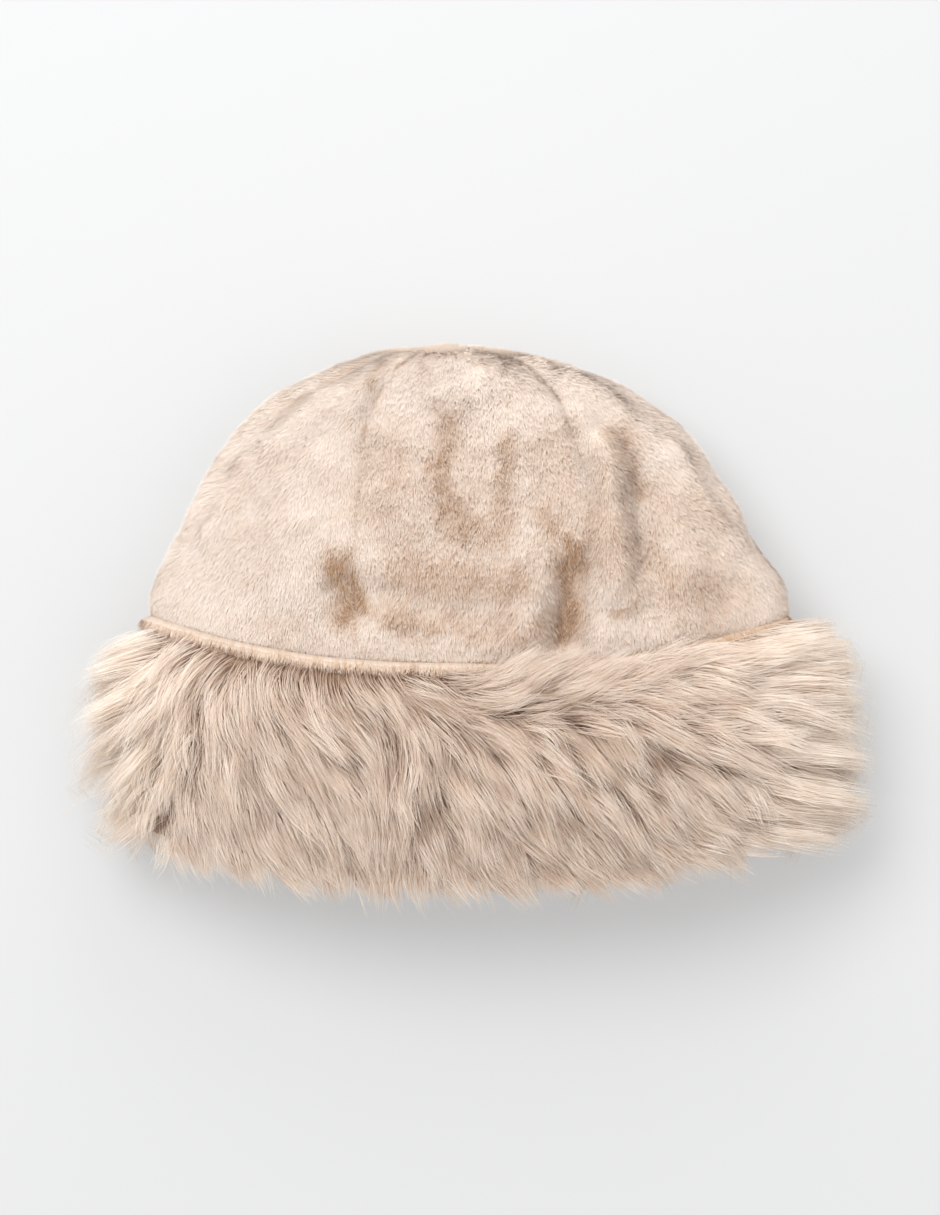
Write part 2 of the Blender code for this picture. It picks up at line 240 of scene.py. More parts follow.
# Where the crown's pile is crushed and browner, and where painted shade darkens its folds, dents and valleys.
CRUSHED_AND_SHADED = (
    Stroke(-8, 83, -13, 64, 7.0, 0.52),
    Stroke(-13, 64, -8, 44, 7.5, 0.74),
    Stroke(-8, 39, 12, 34, 7.5, 0.56),
    Stroke(16, 74, 14, 56, 5.5, 0.55),
    Stroke(14, 56, 13, 36, 7.0, 0.52),
    Stroke(-1, 66, 0, 48, 12.0, 0.28),
    Stroke(36, 74, 42, 36, 8.0, 0.30),
    Stroke(28, 72, 32, 40, 9.0, 0.30),
    Stroke(-33, 66, -30, 36, 15.0, 0.34),
    Stroke(-92, 58, -84, 28, 14.0, 0.08),
    Stroke(56, 70, 56, 42, 8.0, 0.26),
    Stroke(-100, 0, -40, -12, 7.0, 0.16),
    Stroke(74, 46, 104, 44, 14.0, 0.26),
    Stroke(32, 42, 42, 30, 7.0, 0.60),
    Stroke(42, 29, 41, -6, 7.5, 1.05),
    Stroke(28, 30, 26, 4, 8.0, 0.25),
    Stroke(-56, 22, -51, 3, 7.0, 0.92),
    Stroke(-49, 16, -47, 2, 5.0, 1.05),
    Stroke(-47, 3, -14, -6, 3.5, 0.70),
    Stroke(-26, 18, 18, 14, 13.0, 0.56),
    Stroke(-32, 2, 30, -8, 10.0, 0.45),
    Stroke(61, 74, 71, 54, 7.0, 0.50),
    Stroke(71, 26, 71, 10, 7.0, 0.35),
    Stroke(68, 4, 59, 1, 2.5, 0.60),
    Stroke(58, 34, 98, 8, 20.0, 0.42),
    Stroke(-82, 70, -95, 36, 10.0, 0.07),
    Stroke(-34, 106, -39, 96, 1.6, 0.30),
    Stroke(-43, 107, -86, 81, 3.5, 0.16),
    Stroke(62, 94, 88, 70, 4.0, 0.12),
)
# Small ridges and valleys of the crown, with their heights in millimetres.
CREASES = (
    Stroke(42, 88, 53, 70, 6.5, 0.7),
    Stroke(53, 70, 58, 54, 7.0, 0.9),
    Stroke(58, 54, 54, 36, 6.5, 1.0),
    Stroke(51, 87, 62, 71, 6.5, -0.6),
    Stroke(62, 71, 70, 53, 7.0, -1.0),
    Stroke(68, 46, 72, 20, 6.5, -1.0),
    Stroke(-54, 11, -50, 4, 6.5, 2.6),
    Stroke(42, 18, 40, -6, 6.5, 2.2),
    Stroke(72, 20, 64, 7, 5.0, -1.4),
    Stroke(66, 90, 85, 72, 5.0, -1.0),
    Stroke(85, 72, 111, 47, 5.0, -0.6),
    Stroke(-80, 72, -95, 34, 9.0, -1.2),
    Stroke(-25, 107, -43, 100, 4.0, 0.6),
    Stroke(-43, 100, -61, 91, 4.0, 1.3),
    Stroke(-61, 91, -95, 64, 4.0, 1.4),
    Stroke(-95, 64, -112, 30, 4.0, 1.2),
    Stroke(-46, 105, -62, 98, 4.0, -1.2),
    Stroke(-62, 98, -99, 70, 3.5, -1.8),
    Stroke(-99, 70, -113, 57, 3.5, -1.2),
)
# How strong the painted shade along a seam is, and how deep the seam lies as a share of the full depth.
SEAM_LINE_SHADE = {"front_left": 0.50, "front_right": 0.40}
SEAM_SHARPNESS = {"front_left": 0.7, "front_right": 0.9, "side_left": 0.5, "side_right": 0.12, "back": 0.6}
# Where the cuff's fur is parted, with painted shade in the partings.
PARTED = (
    Stroke(-32, -50, -32, -70, 3.0, 0.9),
    Stroke(-9, -39, -5, -41, 3.0, 0.7),
    Stroke(12, -42, 15, -44, 2.2, 0.5),
    Stroke(38, -37, 42, -42, 4.0, 0.8),
    Stroke(77, -60, 81, -66, 4.0, 0.8),
    Stroke(-108, -56, -106, -62, 3.5, 0.7),
    Stroke(-17, -84, -14, -88, 3.0, 0.6),
    Stroke(39, -89, 43, -93, 3.0, 0.5),
    Stroke(-12, -63, -8, -69, 2.5, 0.5),
    Stroke(-45, -47, -41, -51, 2.5, 0.5),
    Stroke(-34, -25, -20, -27, 1.6, 0.9),
    Stroke(-112, -14, -84, -21, 2.0, 0.6),
    Stroke(-92, -60, -88, -70, 3.0, 0.4),
    Stroke(60, -72, 64, -78, 3.0, 0.4),
)
LIGHTS = (
    Light("key", (-0.70, 0.85, 1.75), 1.3, 33.0),
    Light("fill", (0.9, -0.6, 1.6), 1.6, 3.0),
    Light("back", (0.20, 1.50, 0.80), 1.2, 9.5),
)


def smooth_row(table: Sequence[NamedTuple], position: float) -> np.ndarray:
    """Reads every column at a position down a table, on one smooth curve through its rows.

    Args:
        table: rows of numbers.
        position: place down the table, from 0 to 1.

    Returns:
        One value for each column.
    """
    rows = np.array([list(row) for row in table], dtype=float)
    last = len(rows) - 1
    place = min(max(position, 0.0), 1.0) * last
    first = min(int(place), last - 1)
    step = place - first
    start, end = rows[first], rows[first + 1]
    slope_in = (end - rows[max(first - 1, 0)]) / 2
    slope_out = (rows[min(first + 2, last)] - start) / 2
    return (
        start * (2 * step**3 - 3 * step**2 + 1)
        + slope_in * (step**3 - 2 * step**2 + step)
        + end * (3 * step**2 - 2 * step**3)
        + slope_out * (step**3 - step**2)
    )


def unit(vectors: np.ndarray) -> np.ndarray:
    """Vectors of length one along the last axis."""
    return vectors / np.maximum(np.linalg.norm(vectors, axis=-1, keepdims=True), 1e-12)


def ramp(values: np.ndarray, start: float, run: float) -> np.ndarray:
    """Share of the way from a start over a run, from 0 to 1. A run below nought goes the other way."""
    return np.clip((values - start) / run, 0.0, 1.0)


def stroke_weight(points: np.ndarray, start: np.ndarray, end: np.ndarray, spread: float) -> np.ndarray:
    """How near each point lies to a stroke on the plan, from 1 on it to 0 well away.

    Args:
        points: places whose first two columns are x and y.
        start: one end of the stroke.
        end: its other end.
        spread: distance at which the weight has fallen to about a third.

    Returns:
        A weight for each point.
    """
    run = end - start
    place = np.clip(((points[..., :2] - start) @ run) / (run @ run), 0.0, 1.0)
    nearest = start + place[..., None] * run
    distance = np.linalg.norm(points[..., :2] - nearest, axis=-1)
    return np.exp(-((distance / spread) ** 2))


def ripple(points: np.ndarray, size: float, seed: int) -> np.ndarray:
    """Soft seeded unevenness between about -1 and 1, made of a few crossing waves.

    Args:
        points: places in metres.
        size: length of its lumps in metres.
        seed: seed of the waves.

    Returns:
        A value for each point.
    """
    chance = np.random.default_rng(seed)
    total = np.zeros(points.shape[:-1])
    for _ in range(7):
        direction = unit(chance.normal(size=3))
        scale = 2 * math.pi / (size * chance.uniform(0.7, 1.5))
        total += np.sin((points @ direction) * scale + chance.uniform(0, 2 * math.pi))
    return total / 3.2


@dataclass
class HatForm:
    """The hat's bare shape, worked out from the sizes that its solids have.

    Attributes:
        crown_width: width across the hem as it lies.
        crown_height: from the hem's ends to the tip.
        crown_thickness: height of the crown off the table.
        hem_sag: how far the hem's middle hangs below its ends.
        plush_wall: thickness of the gores.
        seam_depth: how deep the seams lie.
        seam_softness: how far from a seam the pile rises again.
        fold_depth: depth that the folds take shares of.
        welt_height: height of the strip under the crown.
        cuff_height: height of the cuff's backing.
        fur_depth: depth of the fur on its upper side.
        gap: clearance between sewn pieces.
        power: roundness of the sections.
        side_swell: how far the pile fills the crown out at its sides.
        samples: points in half a section.
        origin: the hat's own middle, at the ends of the crown's hem.
    """

    crown_width: float = 0.272
    crown_height: float = 0.115
    crown_thickness: float = 0.068
    hem_sag: float = 0.020
    plush_wall: float = 0.0045
    seam_depth: float = 0.0026
    seam_softness: float = 0.008
    fold_depth: float = 0.010
    welt_height: float = 0.0058
    cuff_height: float = 0.086
    fur_depth: float = 0.0268
    gap: float = 0.0004
    power: float = 2.55
    side_swell: float = 0.0034
    samples: int = 361
    origin: np.ndarray = field(init=False)

    def __post_init__(self) -> None:
        """Finds the hat's own middle in the frame from where its welt lies."""
        low, high = (np.array(corner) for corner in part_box("hem_welt"))
        self.origin = np.array([(low[0] + high[0]) / 2, high[1] + self.gap, 0.0])

    def section(self, width: float, top: float, floor: float) -> tuple[np.ndarray, np.ndarray, np.ndarray]:
        """Half a section, from the middle of its upper side round to the middle of its lower side.

        Args:
            width: share of half the crown's width.
            top: share of the crown's thickness.
            floor: share of the crown's thickness.

        Returns:
            The share of the girth at each sample, its x and its z.
        """
        angle = np.linspace(0, math.pi, self.samples)
        high, low = top * self.crown_thickness, floor * self.crown_thickness
        x = width * self.crown_width / 2 * np.abs(np.sin(angle)) ** (2 / self.power)
        z = np.sign(np.cos(angle)) * np.abs(np.cos(angle)) ** (2 / self.power)
        z = np.maximum((high + low) / 2 + (high - low) / 2 * z, 0.0)
        run = np.concatenate(([0.0], np.cumsum(np.hypot(np.diff(x), np.diff(z)))))
        return run / run[-1] / 2, x, z

    def girth(self, row: NamedTuple) -> float:
        """Length once round a section."""
        _, x, z = self.section(row.width, row.top, row.floor)
        return 2 * float(np.sum(np.hypot(np.diff(x), np.diff(z))))

    def around(self, row: NamedTuple, shares: np.ndarray) -> tuple[np.ndarray, np.ndarray]:
        """Reads a section at shares of its girth.

        Args:
            row: the section.
            shares: shares from the middle of its upper side.

        Returns:
            Its x and its z there.
        """
        run, x, z = self.section(row.width, row.top, row.floor)
        turned = (shares + 0.5) % 1.0 - 0.5
        side = np.where(turned < 0, -1.0, 1.0)
        return np.interp(np.abs(turned), run, x) * side, np.interp(np.abs(turned), run, z)

    def hem_line(self, x: np.ndarray) -> np.ndarray:
        """How far the hem hangs below its ends at a place across the hat."""
        return -self.hem_sag * (1 - np.clip(np.abs(x) / (self.crown_width / 2), 0.0, 1.0) ** 2.4)

    def crown_row(self, position: float, shares: np.ndarray) -> np.ndarray:
        """Works out one row of points round the crown's bare form.

        Args:
            position: place down the crown's table, from 0 to 1.
            shares: shares of the girth from the middle of the upper side.

        Returns:
            The points in the hat's own frame.
        """
        row = CrownSection(*smooth_row(CROWN_SECTIONS, position))
        x, z = self.around(row, shares)
        y = row.height * self.crown_height + self.hem_line(x) * max(0.0, 1 - row.height) ** 1.5
        return np.stack([x + row.drift * self.crown_width, y, z], axis=-1)

    def crown_normals(self, position: float, shares: np.ndarray) -> np.ndarray:
        """Works out the outward unit normals of the crown's bare form along one row.

        Args:
            position: place down the crown's table, from 0 to 1.
            shares: shares of the girth from the middle of the upper side.

        Returns:
            A normal for each share. At the hem it has no part along the hat.
        """
        share_step, row_step = 0.0014, 0.0028
        across = self.crown_row(position, shares + share_step) - self.crown_row(position, shares - share_step)
        nearer, further = max(position - row_step, 0.0), min(position + row_step, 1.0)
        along = self.crown_row(further, shares) - self.crown_row(nearer, shares)
        normal = np.cross(across, along)
        if position == 0.0:
            normal[:, 1] = 0.0
        return unit(normal)

    def tip(self) -> np.ndarray:
        """Finds the middle of the crown's tip.

        Returns:
            The point where the gores meet.
        """
        row = CROWN_SECTIONS[-1]
        height = (row.top + row.floor) / 2 * self.crown_thickness
        return np.array([row.drift * self.crown_width, self.crown_height, height])

    def swell(self, points: np.ndarray, normal: np.ndarray) -> np.ndarray:
        """How far the pile fills the crown out at each point, most of all half way up its sides."""
        height = ramp(points[..., 1] / self.crown_height, 0.32, 0.66)
        return self.side_swell * np.sin(math.pi * height) * (1 - np.abs(normal[..., 2]))

    def folds(self, points: np.ndarray, facing_up: np.ndarray) -> np.ndarray:
        """Adds up the folds, dents and creases of the upper side.

        Args:
            points: places on the crown.
            facing_up: the upward part of the normal at each.

        Returns:
            How far each point is raised.
        """
        relief = np.zeros(points.shape[:-1])
        size = np.array([self.crown_width / 2, self.crown_height])
        for fold in FOLDS:
            start, end = np.array([fold.x, fold.y]) * size, np.array([fold.x_end, fold.y_end]) * size
            weight = stroke_weight(points, start, end, fold.spread * self.crown_width)
            relief += fold.rise * self.fold_depth * weight
        for crease in CREASES:
            relief += crease.strength / MILLIMETRES * crease.nearness(points)
        return relief * ramp(facing_up, 0.15, 0.5)


class Ring:
    """The cuff's backing as a surface that can be read at any place round and along it."""

    def __init__(self, form: HatForm) -> None:
        """Tables the backing's sections.

        Args:
            form: the hat's sizes.
        """
        self.form = form
        self.columns, self.rows = 1440, 9
        self.shares = np.arange(self.columns) / self.columns - 0.5
        self.x, self.z, self.girths = [], [], []
        for place in np.linspace(0, 1, self.rows):
            row = Backing(*smooth_row(BACKING, place))
            x, z = form.around(row, self.shares)
            self.x.append(x)
            self.z.append(z)
            self.girths.append(form.girth(row))
        self.x, self.z = np.array(self.x), np.array(self.z)
        near = 3
        turned = [np.roll(part, -near, 1) - np.roll(part, near, 1) for part in (self.x, self.z)]
        self.run = unit(np.stack(turned, -1))

    def read(self, table: np.ndarray, along: np.ndarray, share: np.ndarray) -> np.ndarray:
        """Reads a table of the ring between its rows and columns.

        Args:
            table: a number or a vector for each row and column.
            along: distance from the hem towards the mouth.
            share: share of the girth from the middle of the upper side.

        Returns:
            A number or a vector for each place.
        """
        row = np.clip(along / self.form.cuff_height, 0.0, 1.0) * (self.rows - 1)
        column = ((share + 0.5) % 1.0) * self.columns
        above = np.minimum(row.astype(int), self.rows - 2)
        left = column.astype(int) % self.columns
        right = (left + 1) % self.columns
        down, over = row - above, column - np.floor(column)
        if table.ndim == 3:
            down, over = down[..., None], over[..., None]
        near = table[above, left] * (1 - over) + table[above, right] * over
        far = table[above + 1, left] * (1 - over) + table[above + 1, right] * over
        return near * (1 - down) + far * down

    def place(
        self, along: np.ndarray, share: np.ndarray, out: np.ndarray
    ) -> tuple[np.ndarray, np.ndarray, np.ndarray]:
        """Points off the backing, with the directions there.

        Args:
            along: distance from the hem towards the mouth.
            share: share of the girth from the middle of the upper side.
            out: distance out from the backing.

        Returns:
            The points in the hat's own frame, the outward normals and the directions round the ring.
        """
        x, z = self.read(self.x, along, share), self.read(self.z, along, share)
        run = unit(self.read(self.run, along, share))
        nought = np.zeros_like(x)
        normal = np.stack([-run[..., 1], nought, run[..., 0]], axis=-1)
        across = np.stack([run[..., 0], nought, run[..., 1]], axis=-1)
        point = np.stack([x, self.form.hem_line(x) - along, z], axis=-1) + normal * out[..., None]
        return point, normal, across


def add_mesh(
    name: str, points: np.ndarray, faces: Sequence[Sequence[int]], edges: Sequence[Sequence[int]] = ()
) -> bpy.types.Object:
    """Makes a mesh object at the origin.

    Args:
        name: the object's name.
        points: places of its vertices in the frame.
        faces: corners of each face, anticlockwise seen from outside.
        edges: ends of loose edges, for a guide that has no faces.

    Returns:
        The new object.
    """
    mesh = bpy.data.meshes.new(name)
    mesh.from_pydata(points.tolist(), [list(edge) for edge in edges], [list(corners) for corners in faces])
    if faces:
        mesh.shade_smooth()
    piece = bpy.data.objects.new(name, mesh)
    bpy.context.collection.objects.link(piece)
    return piece


def store(piece: bpy.types.Object, name: str, values: np.ndarray) -> None:
    """Writes an attribute of a mesh's vertices.

    Args:
        piece: the object whose mesh it is.
        name: the attribute's name.
        values: a number or a vector for each vertex.
    """
    kind, key = ("FLOAT_VECTOR", "vector") if values.ndim == 2 else ("FLOAT", "value")
    attribute = piece.data.attributes.new(name, kind, "POINT")
    attribute.data.foreach_set(key, np.ascontiguousarray(values, dtype=np.float32).ravel())


def read_values(items: bpy.types.bpy_prop_collection, name: str, kind: type = np.int32) -> np.ndarray:
    """Reads one number of each of a mesh's faces, corners or values.

    Args:
        items: what to read from.
        name: which of its numbers.
        kind: the kind of number.

    Returns:
        The numbers in order.
    """
    values = np.empty(len(items), dtype=kind)
    items.foreach_get(name, values)
    return values


def lay_on_table(piece: bpy.types.Object, lowest: float = 0.0004) -> None:
    """Presses what would reach under the table flat on it.

    Args:
        piece: the object whose mesh is changed.
        lowest: the height at which it lies.
    """
    places = np.empty(len(piece.data.vertices) * 3, dtype=np.float32)
    piece.data.vertices.foreach_get("co", places)
    places[2::3] = np.maximum(places[2::3], lowest)
    piece.data.vertices.foreach_set("co", places)
    piece.data.update()


def grid_faces(rows: int, columns: int, first: int = 0, flipped: bool = False) -> list[tuple[int, ...]]:
    """Makes the faces of an open grid of points, row by row.

    Args:
        rows: rows of points.
        columns: points in a row.
        first: number of the grid's first point.
        flipped: whether the faces look the other way.

    Returns:
        The corners of each face.
    """
    faces = []
    for row in range(rows - 1):
        for column in range(columns - 1):
            corner = first + row * columns + column
            corners = (corner, corner + 1, corner + 1 + columns, corner + columns)
            faces.append(corners[::-1] if flipped else corners)
    return faces


def band_faces(rows: int, columns: int) -> list[tuple[int, ...]]:
    """Makes the faces of a grid of points that closes on itself both ways, as the wall of a ring does.

    Args:
        rows: points once round the wall.
        columns: points once round the ring.

    Returns:
        The corners of each face.
    """
    faces = []
    for row in range(rows):
        below = (row + 1) % rows
        for column in range(columns):
            beside = (column + 1) % columns
            corners = ((row, column), (below, column), (below, beside), (row, beside))
            faces.append(tuple(line * columns + place for line, place in corners))
    return faces


class NodeMaker:
    """Adds nodes to a tree and feeds them."""

    def __init__(self, tree: bpy.types.NodeTree) -> None:
        """Takes the tree that the nodes go in."""
        self.tree = tree

    def feed(self, socket: bpy.types.NodeSocket, value: object) -> None:
        """Links an input to a socket, or sets it.

        Args:
            socket: the input.
            value: another node's socket, or a plain value.
        """
        if isinstance(value, bpy.types.NodeSocket):
            self.tree.links.new(value, socket)
        else:
            socket.default_value = value

    def add(
        self, kind: str, inputs: dict[str | int, object] | None = None, **settings: object
    ) -> bpy.types.Node:
        """Adds a node, sets it and feeds it.

        Args:
            kind: the node's type, without its GeometryNode prefix unless it has another.
            inputs: a value or a socket for each input, by name or place.
            settings: the node's own properties.

        Returns:
            The node.
        """
        whole = kind if kind.startswith(("Function", "Shader")) else "GeometryNode" + kind
        node = self.tree.nodes.new(whole)
        for name, value in settings.items():
            setattr(node, name, value)
        for name, value in (inputs or {}).items():
            self.feed(node.inputs[name], value)
        return node


class TreeMaker(NodeMaker):
    """Builds a Geometry Nodes tree and turns it into a plain mesh on an object."""

    def __init__(self, name: str) -> None:
        """Starts a tree with one geometry in and one out.

        Args:
            name: the tree's name.
        """
        super().__init__(bpy.data.node_groups.new(name, "GeometryNodeTree"))
        self.tree.interface.new_socket("Geometry", in_out="INPUT", socket_type="NodeSocketGeometry")
        self.tree.interface.new_socket("Geometry", in_out="OUTPUT", socket_type="NodeSocketGeometry")
        self.entry = self.tree.nodes.new("NodeGroupInput")
        self.exit = self.tree.nodes.new("NodeGroupOutput")

    @property
    def geometry(self) -> bpy.types.NodeSocket:
        """The geometry that comes in."""
        return self.entry.outputs[0]

    def size(self, name: str, value: float | int | bpy.types.Material) -> bpy.types.NodeSocket:
        """Adds a named input.

        Args:
            name: its name.
            value: its value, which also says what kind of socket it is.

        Returns:
            The socket that the tree's nodes read.
        """
        kinds = {int: "NodeSocketInt", float: "NodeSocketFloat"}
        kind = kinds.get(type(value), "NodeSocketMaterial")
        self.tree.interface.new_socket(name, in_out="INPUT", socket_type=kind).default_value = value
        return self.entry.outputs[name]

    def maths(self, operation: str, *values: object) -> bpy.types.NodeSocket:
        """One step of arithmetic on numbers."""
        return self.add("ShaderNodeMath", dict(enumerate(values)), operation=operation).outputs[0]

    def times(self, first: object, second: object) -> bpy.types.NodeSocket:
        """The product of two numbers."""
        return self.maths("MULTIPLY", first, second)

    def plus(self, first: object, second: object) -> bpy.types.NodeSocket:
        """The sum of two numbers."""
        return self.maths("ADD", first, second)

    def vectors(self, operation: str, *values: object) -> bpy.types.NodeSocket:
        """One step of arithmetic on vectors.

        Args:
            operation: the step.
            values: a vector or a socket for each of its inputs, or a factor for the second one of SCALE.

        Returns:
            The resulting vector.
        """
        node = self.add("ShaderNodeVectorMath", operation=operation)
        sockets = [node.inputs[0], node.inputs["Scale"]] if operation == "SCALE" else node.inputs
        for socket, value in zip(sockets, values):
            self.feed(socket, value)
        return node.outputs[0]

    def total(self, first: object, *others: object) -> bpy.types.NodeSocket:
        """Adds vectors up in turn.

        Args:
            first: the first vector.
            others: the ones to add to it.

        Returns:
            Their sum.
        """
        for other in others:
            first = self.vectors("ADD", first, other)
        return first

    def chance(self, low: float, high: float, seed: int, ident: object = None) -> bpy.types.NodeSocket:
        """Draws a seeded random number for each element.

        Args:
            low: least value.
            high: greatest value.
            seed: seed of the draw.
            ident: what tells the elements apart, or none for their own number.

        Returns:
            The socket with the numbers.
        """
        node = self.add("FunctionNodeRandomValue", {"Seed": seed})
        sockets = {socket.identifier: socket for socket in node.inputs}
        for name, value in (("Min_001", low), ("Max_001", high), ("ID", ident)):
            if value is not None:
                self.feed(sockets[name], value)
        return node.outputs[1]

    def named(self, name: str, kind: str = "FLOAT") -> bpy.types.NodeSocket:
        """Reads an attribute of the geometry."""
        return self.add("InputNamedAttribute", {"Name": name}, data_type=kind).outputs["Attribute"]

    def keep(
        self, geometry: bpy.types.NodeSocket, name: str, value: bpy.types.NodeSocket, domain: str
    ) -> bpy.types.NodeSocket:
        """Stores a number as an attribute that a material reads."""
        inputs = {"Geometry": geometry, "Name": name, "Value": value}
        return self.add("StoreNamedAttribute", inputs, domain=domain, data_type="FLOAT").outputs["Geometry"]

    def finish(self, geometry: bpy.types.NodeSocket, material: bpy.types.NodeSocket) -> None:
        """Ends the tree in Realize Instances and Set Material.

        Args:
            geometry: what the tree has made.
            material: its finish.
        """
        real = self.add("RealizeInstances", {"Geometry": geometry})
        dressed = self.add("SetMaterial", {"Geometry": real.outputs[0], "Material": material})
        self.tree.links.new(dressed.outputs[0], self.exit.inputs[0])

    def apply(self, piece: bpy.types.Object) -> bpy.types.Object:
        """Runs the tree on an object and leaves the result as its plain mesh.

        Args:
            piece: the object that holds the tree's input.

        Returns:
            The same object with its new mesh.
        """
        modifier = piece.modifiers.new("grow", "NODES")
        modifier.node_group = self.tree
        for item in self.tree.interface.items_tree:
            if item.in_out == "INPUT" and item.socket_type != "NodeSocketGeometry":
                modifier[item.identifier] = item.default_value
        depsgraph = bpy.context.evaluated_depsgraph_get()
        grown = bpy.data.meshes.new_from_object(
            piece.evaluated_get(depsgraph), preserve_all_data_layers=True, depsgraph=depsgraph
        )
        piece.modifiers.remove(modifier)
        piece.data = grown
        return piece


class ShaderMaker(NodeMaker):
    """Builds a material round its one shader."""

    def __init__(self, name: str, settings: dict[str, object]) -> None:
        """Starts the material.

        Args:
            name: its name.
            settings: values of the shader's own inputs.
        """
        self.material = bpy.data.materials.new(name)
        self.material.use_nodes = True
        super().__init__(self.material.node_tree)
        self.shader = self.tree.nodes["Principled BSDF"]
        for socket, value in settings.items():
            self.shader.inputs[socket].default_value = value

    def place(self) -> bpy.types.NodeSocket:
        """Places in the object's own frame."""
        return self.add("ShaderNodeTexCoord").outputs["Object"]

    def attribute(self, name: str) -> bpy.types.NodeSocket:
        """Reads a number that each vertex holds."""
        return self.add("ShaderNodeAttribute", attribute_name=name).outputs["Fac"]

    def scaled(self, value: bpy.types.NodeSocket, factor: float, more: object = 0.0) -> bpy.types.NodeSocket:
        """A multiple of a number with another one added, kept between 0 and 1."""
        inputs = {0: value, 1: factor, 2: more}
        return self.add("ShaderNodeMath", inputs, operation="MULTIPLY_ADD", use_clamp=True).outputs[0]

    def mix(self, factor: bpy.types.NodeSocket, first: object, second: object) -> bpy.types.NodeSocket:
        """Mixes two colours.

        Args:
            factor: share of the second colour.
            first: a socket or three numbers.
            second: a socket or three numbers.

        Returns:
            The mixed colour.
        """
        node = self.add("ShaderNodeMix", {"Factor": factor}, data_type="RGBA")
        for place, colour in ((6, first), (7, second)):
            linked = isinstance(colour, bpy.types.NodeSocket)
            self.feed(node.inputs[place], colour if linked else (*colour, 1.0))
        return node.outputs[2]


@dataclass(frozen=True)
class FibreFinish:
    """Finish of a fibre surface, from its roots to its tips.

    Attributes:
        name: the material's name.
        root: colour deep in the fur.
        tip: colour at the hairs' ends.
        warm: colour that some of the hairs lean towards.
        opened_and_shade: colour where the pile is crushed or parted, and of the painted shade in creases,
            along seams and under the upper hairs.
        roughness: roughness of the hairs.
        sheen: soft shine across the pile.
        patch: size in metres of the patches in which the colour drifts.
        thin: share of the light that shines through a hair.
        mottle: how far a hair may lean towards the warm colour.
    """

    name: str
    root: tuple[float, float, float]
    tip: tuple[float, float, float]
    warm: tuple[float, float, float]
    opened_and_shade: tuple[float, float, float]
    roughness: float
    sheen: float
    patch: float
    thin: float
    mottle: float

    def material(self) -> bpy.types.Material:
        """Builds the material, which reads the attributes along, tint, crush and pale.
        The colour is darkened for crushed pile and painted shade, and lightened by pale as painted light.

        Returns:
            The material.
        """
        maker = ShaderMaker(self.name, {
            "Roughness": self.roughness, "Sheen Weight": self.sheen, "Sheen Roughness": 0.5,
            "Specular IOR Level": 0.25,
        })
        along, tint, crush, pale = (maker.attribute(name) for name in ("along", "tint", "crush", "pale"))
        # Painted light: pale lifts the colour towards the tips' colour.
        rise = maker.mix(maker.scaled(along, 1.4, pale), self.root, self.tip)
        warmed = maker.mix(maker.scaled(tint, self.mottle), rise, self.warm)
        noise = maker.add("ShaderNodeTexNoise", {
            "Vector": maker.place(), "Scale": 1 / self.patch, "Detail": 3.0,
        })
        drift = maker.add("ShaderNodeMapRange", {
            "Value": noise.outputs["Fac"], "From Min": 0.35, "From Max": 0.75, "To Max": 0.35,
        })
        drifted = maker.mix(drift.outputs["Result"], warmed, self.warm)
        # Crushed pile and painted shade darken the colour.
        colour = maker.mix(maker.scaled(crush, 0.8), drifted, self.opened_and_shade)
        maker.feed(maker.shader.inputs["Base Color"], colour)
        glow = maker.add("ShaderNodeBsdfTranslucent", {"Color": colour})
        blend = maker.add("ShaderNodeMixShader", {
            "Fac": self.thin, 1: maker.shader.outputs["BSDF"], 2: glow.outputs["BSDF"],
        })
        maker.feed(maker.tree.nodes["Material Output"].inputs["Surface"], blend.outputs["Shader"])
        return maker.material


@dataclass(frozen=True)
class KnitFinish:
    """Finish of the cloth that the pile grows from, seen inside the hat.

    Attributes:
        name: the material's name.
        colour: colour of the threads.
        shadow: colour between them.
        stitch: size of a stitch in metres.
        roughness: roughness of the cloth.
    """

    name: str
    colour: tuple[float, float, float]
    shadow: tuple[float, float, float]
    stitch: float
    roughness: float

    def material(self) -> bpy.types.Material:
        """Builds a fine knit with a small bump.

        Returns:
            The material.
        """
        maker = ShaderMaker(self.name, {"Roughness": self.roughness, "Specular IOR Level": 0.2})
        wave = maker.add("ShaderNodeTexWave", {
            "Vector": maker.place(), "Scale": 1 / self.stitch / 2, "Distortion": 3.0, "Detail": 2.0,
        }).outputs["Fac"]
        maker.feed(maker.shader.inputs["Base Color"], maker.mix(wave, self.shadow, self.colour))
        bump = maker.add("ShaderNodeBump", {"Strength": 0.4, "Distance": 0.0004, "Height": wave})
        maker.feed(maker.shader.inputs["Normal"], bump.outputs["Normal"])
        return maker.material


@dataclass(frozen=True)
class PaperFinish:
    """Finish of the pale surface that the hat lies on.

    Attributes:
        name: the material's name.
        colour: its colour.
        glow: strength of its own light.
    """

    name: str
    colour: tuple[float, float, float]
    glow: float

    def material(self) -> bpy.types.Material:
        """Builds a matt white with a little light of its own.

        Returns:
            The material.
        """
        white = (1.0, 1.0, 1.0, 1.0)
        return ShaderMaker(self.name, {
            "Base Color": (*self.colour, 1.0), "Roughness": 0.9, "Specular IOR Level": 0.1,
            "Emission Color": white, "Emission Strength": self.glow,
        }).material


class Side(Enum):
    """Which side of the hat a seam is on."""

    LEFT = -1
    RIGHT = 1


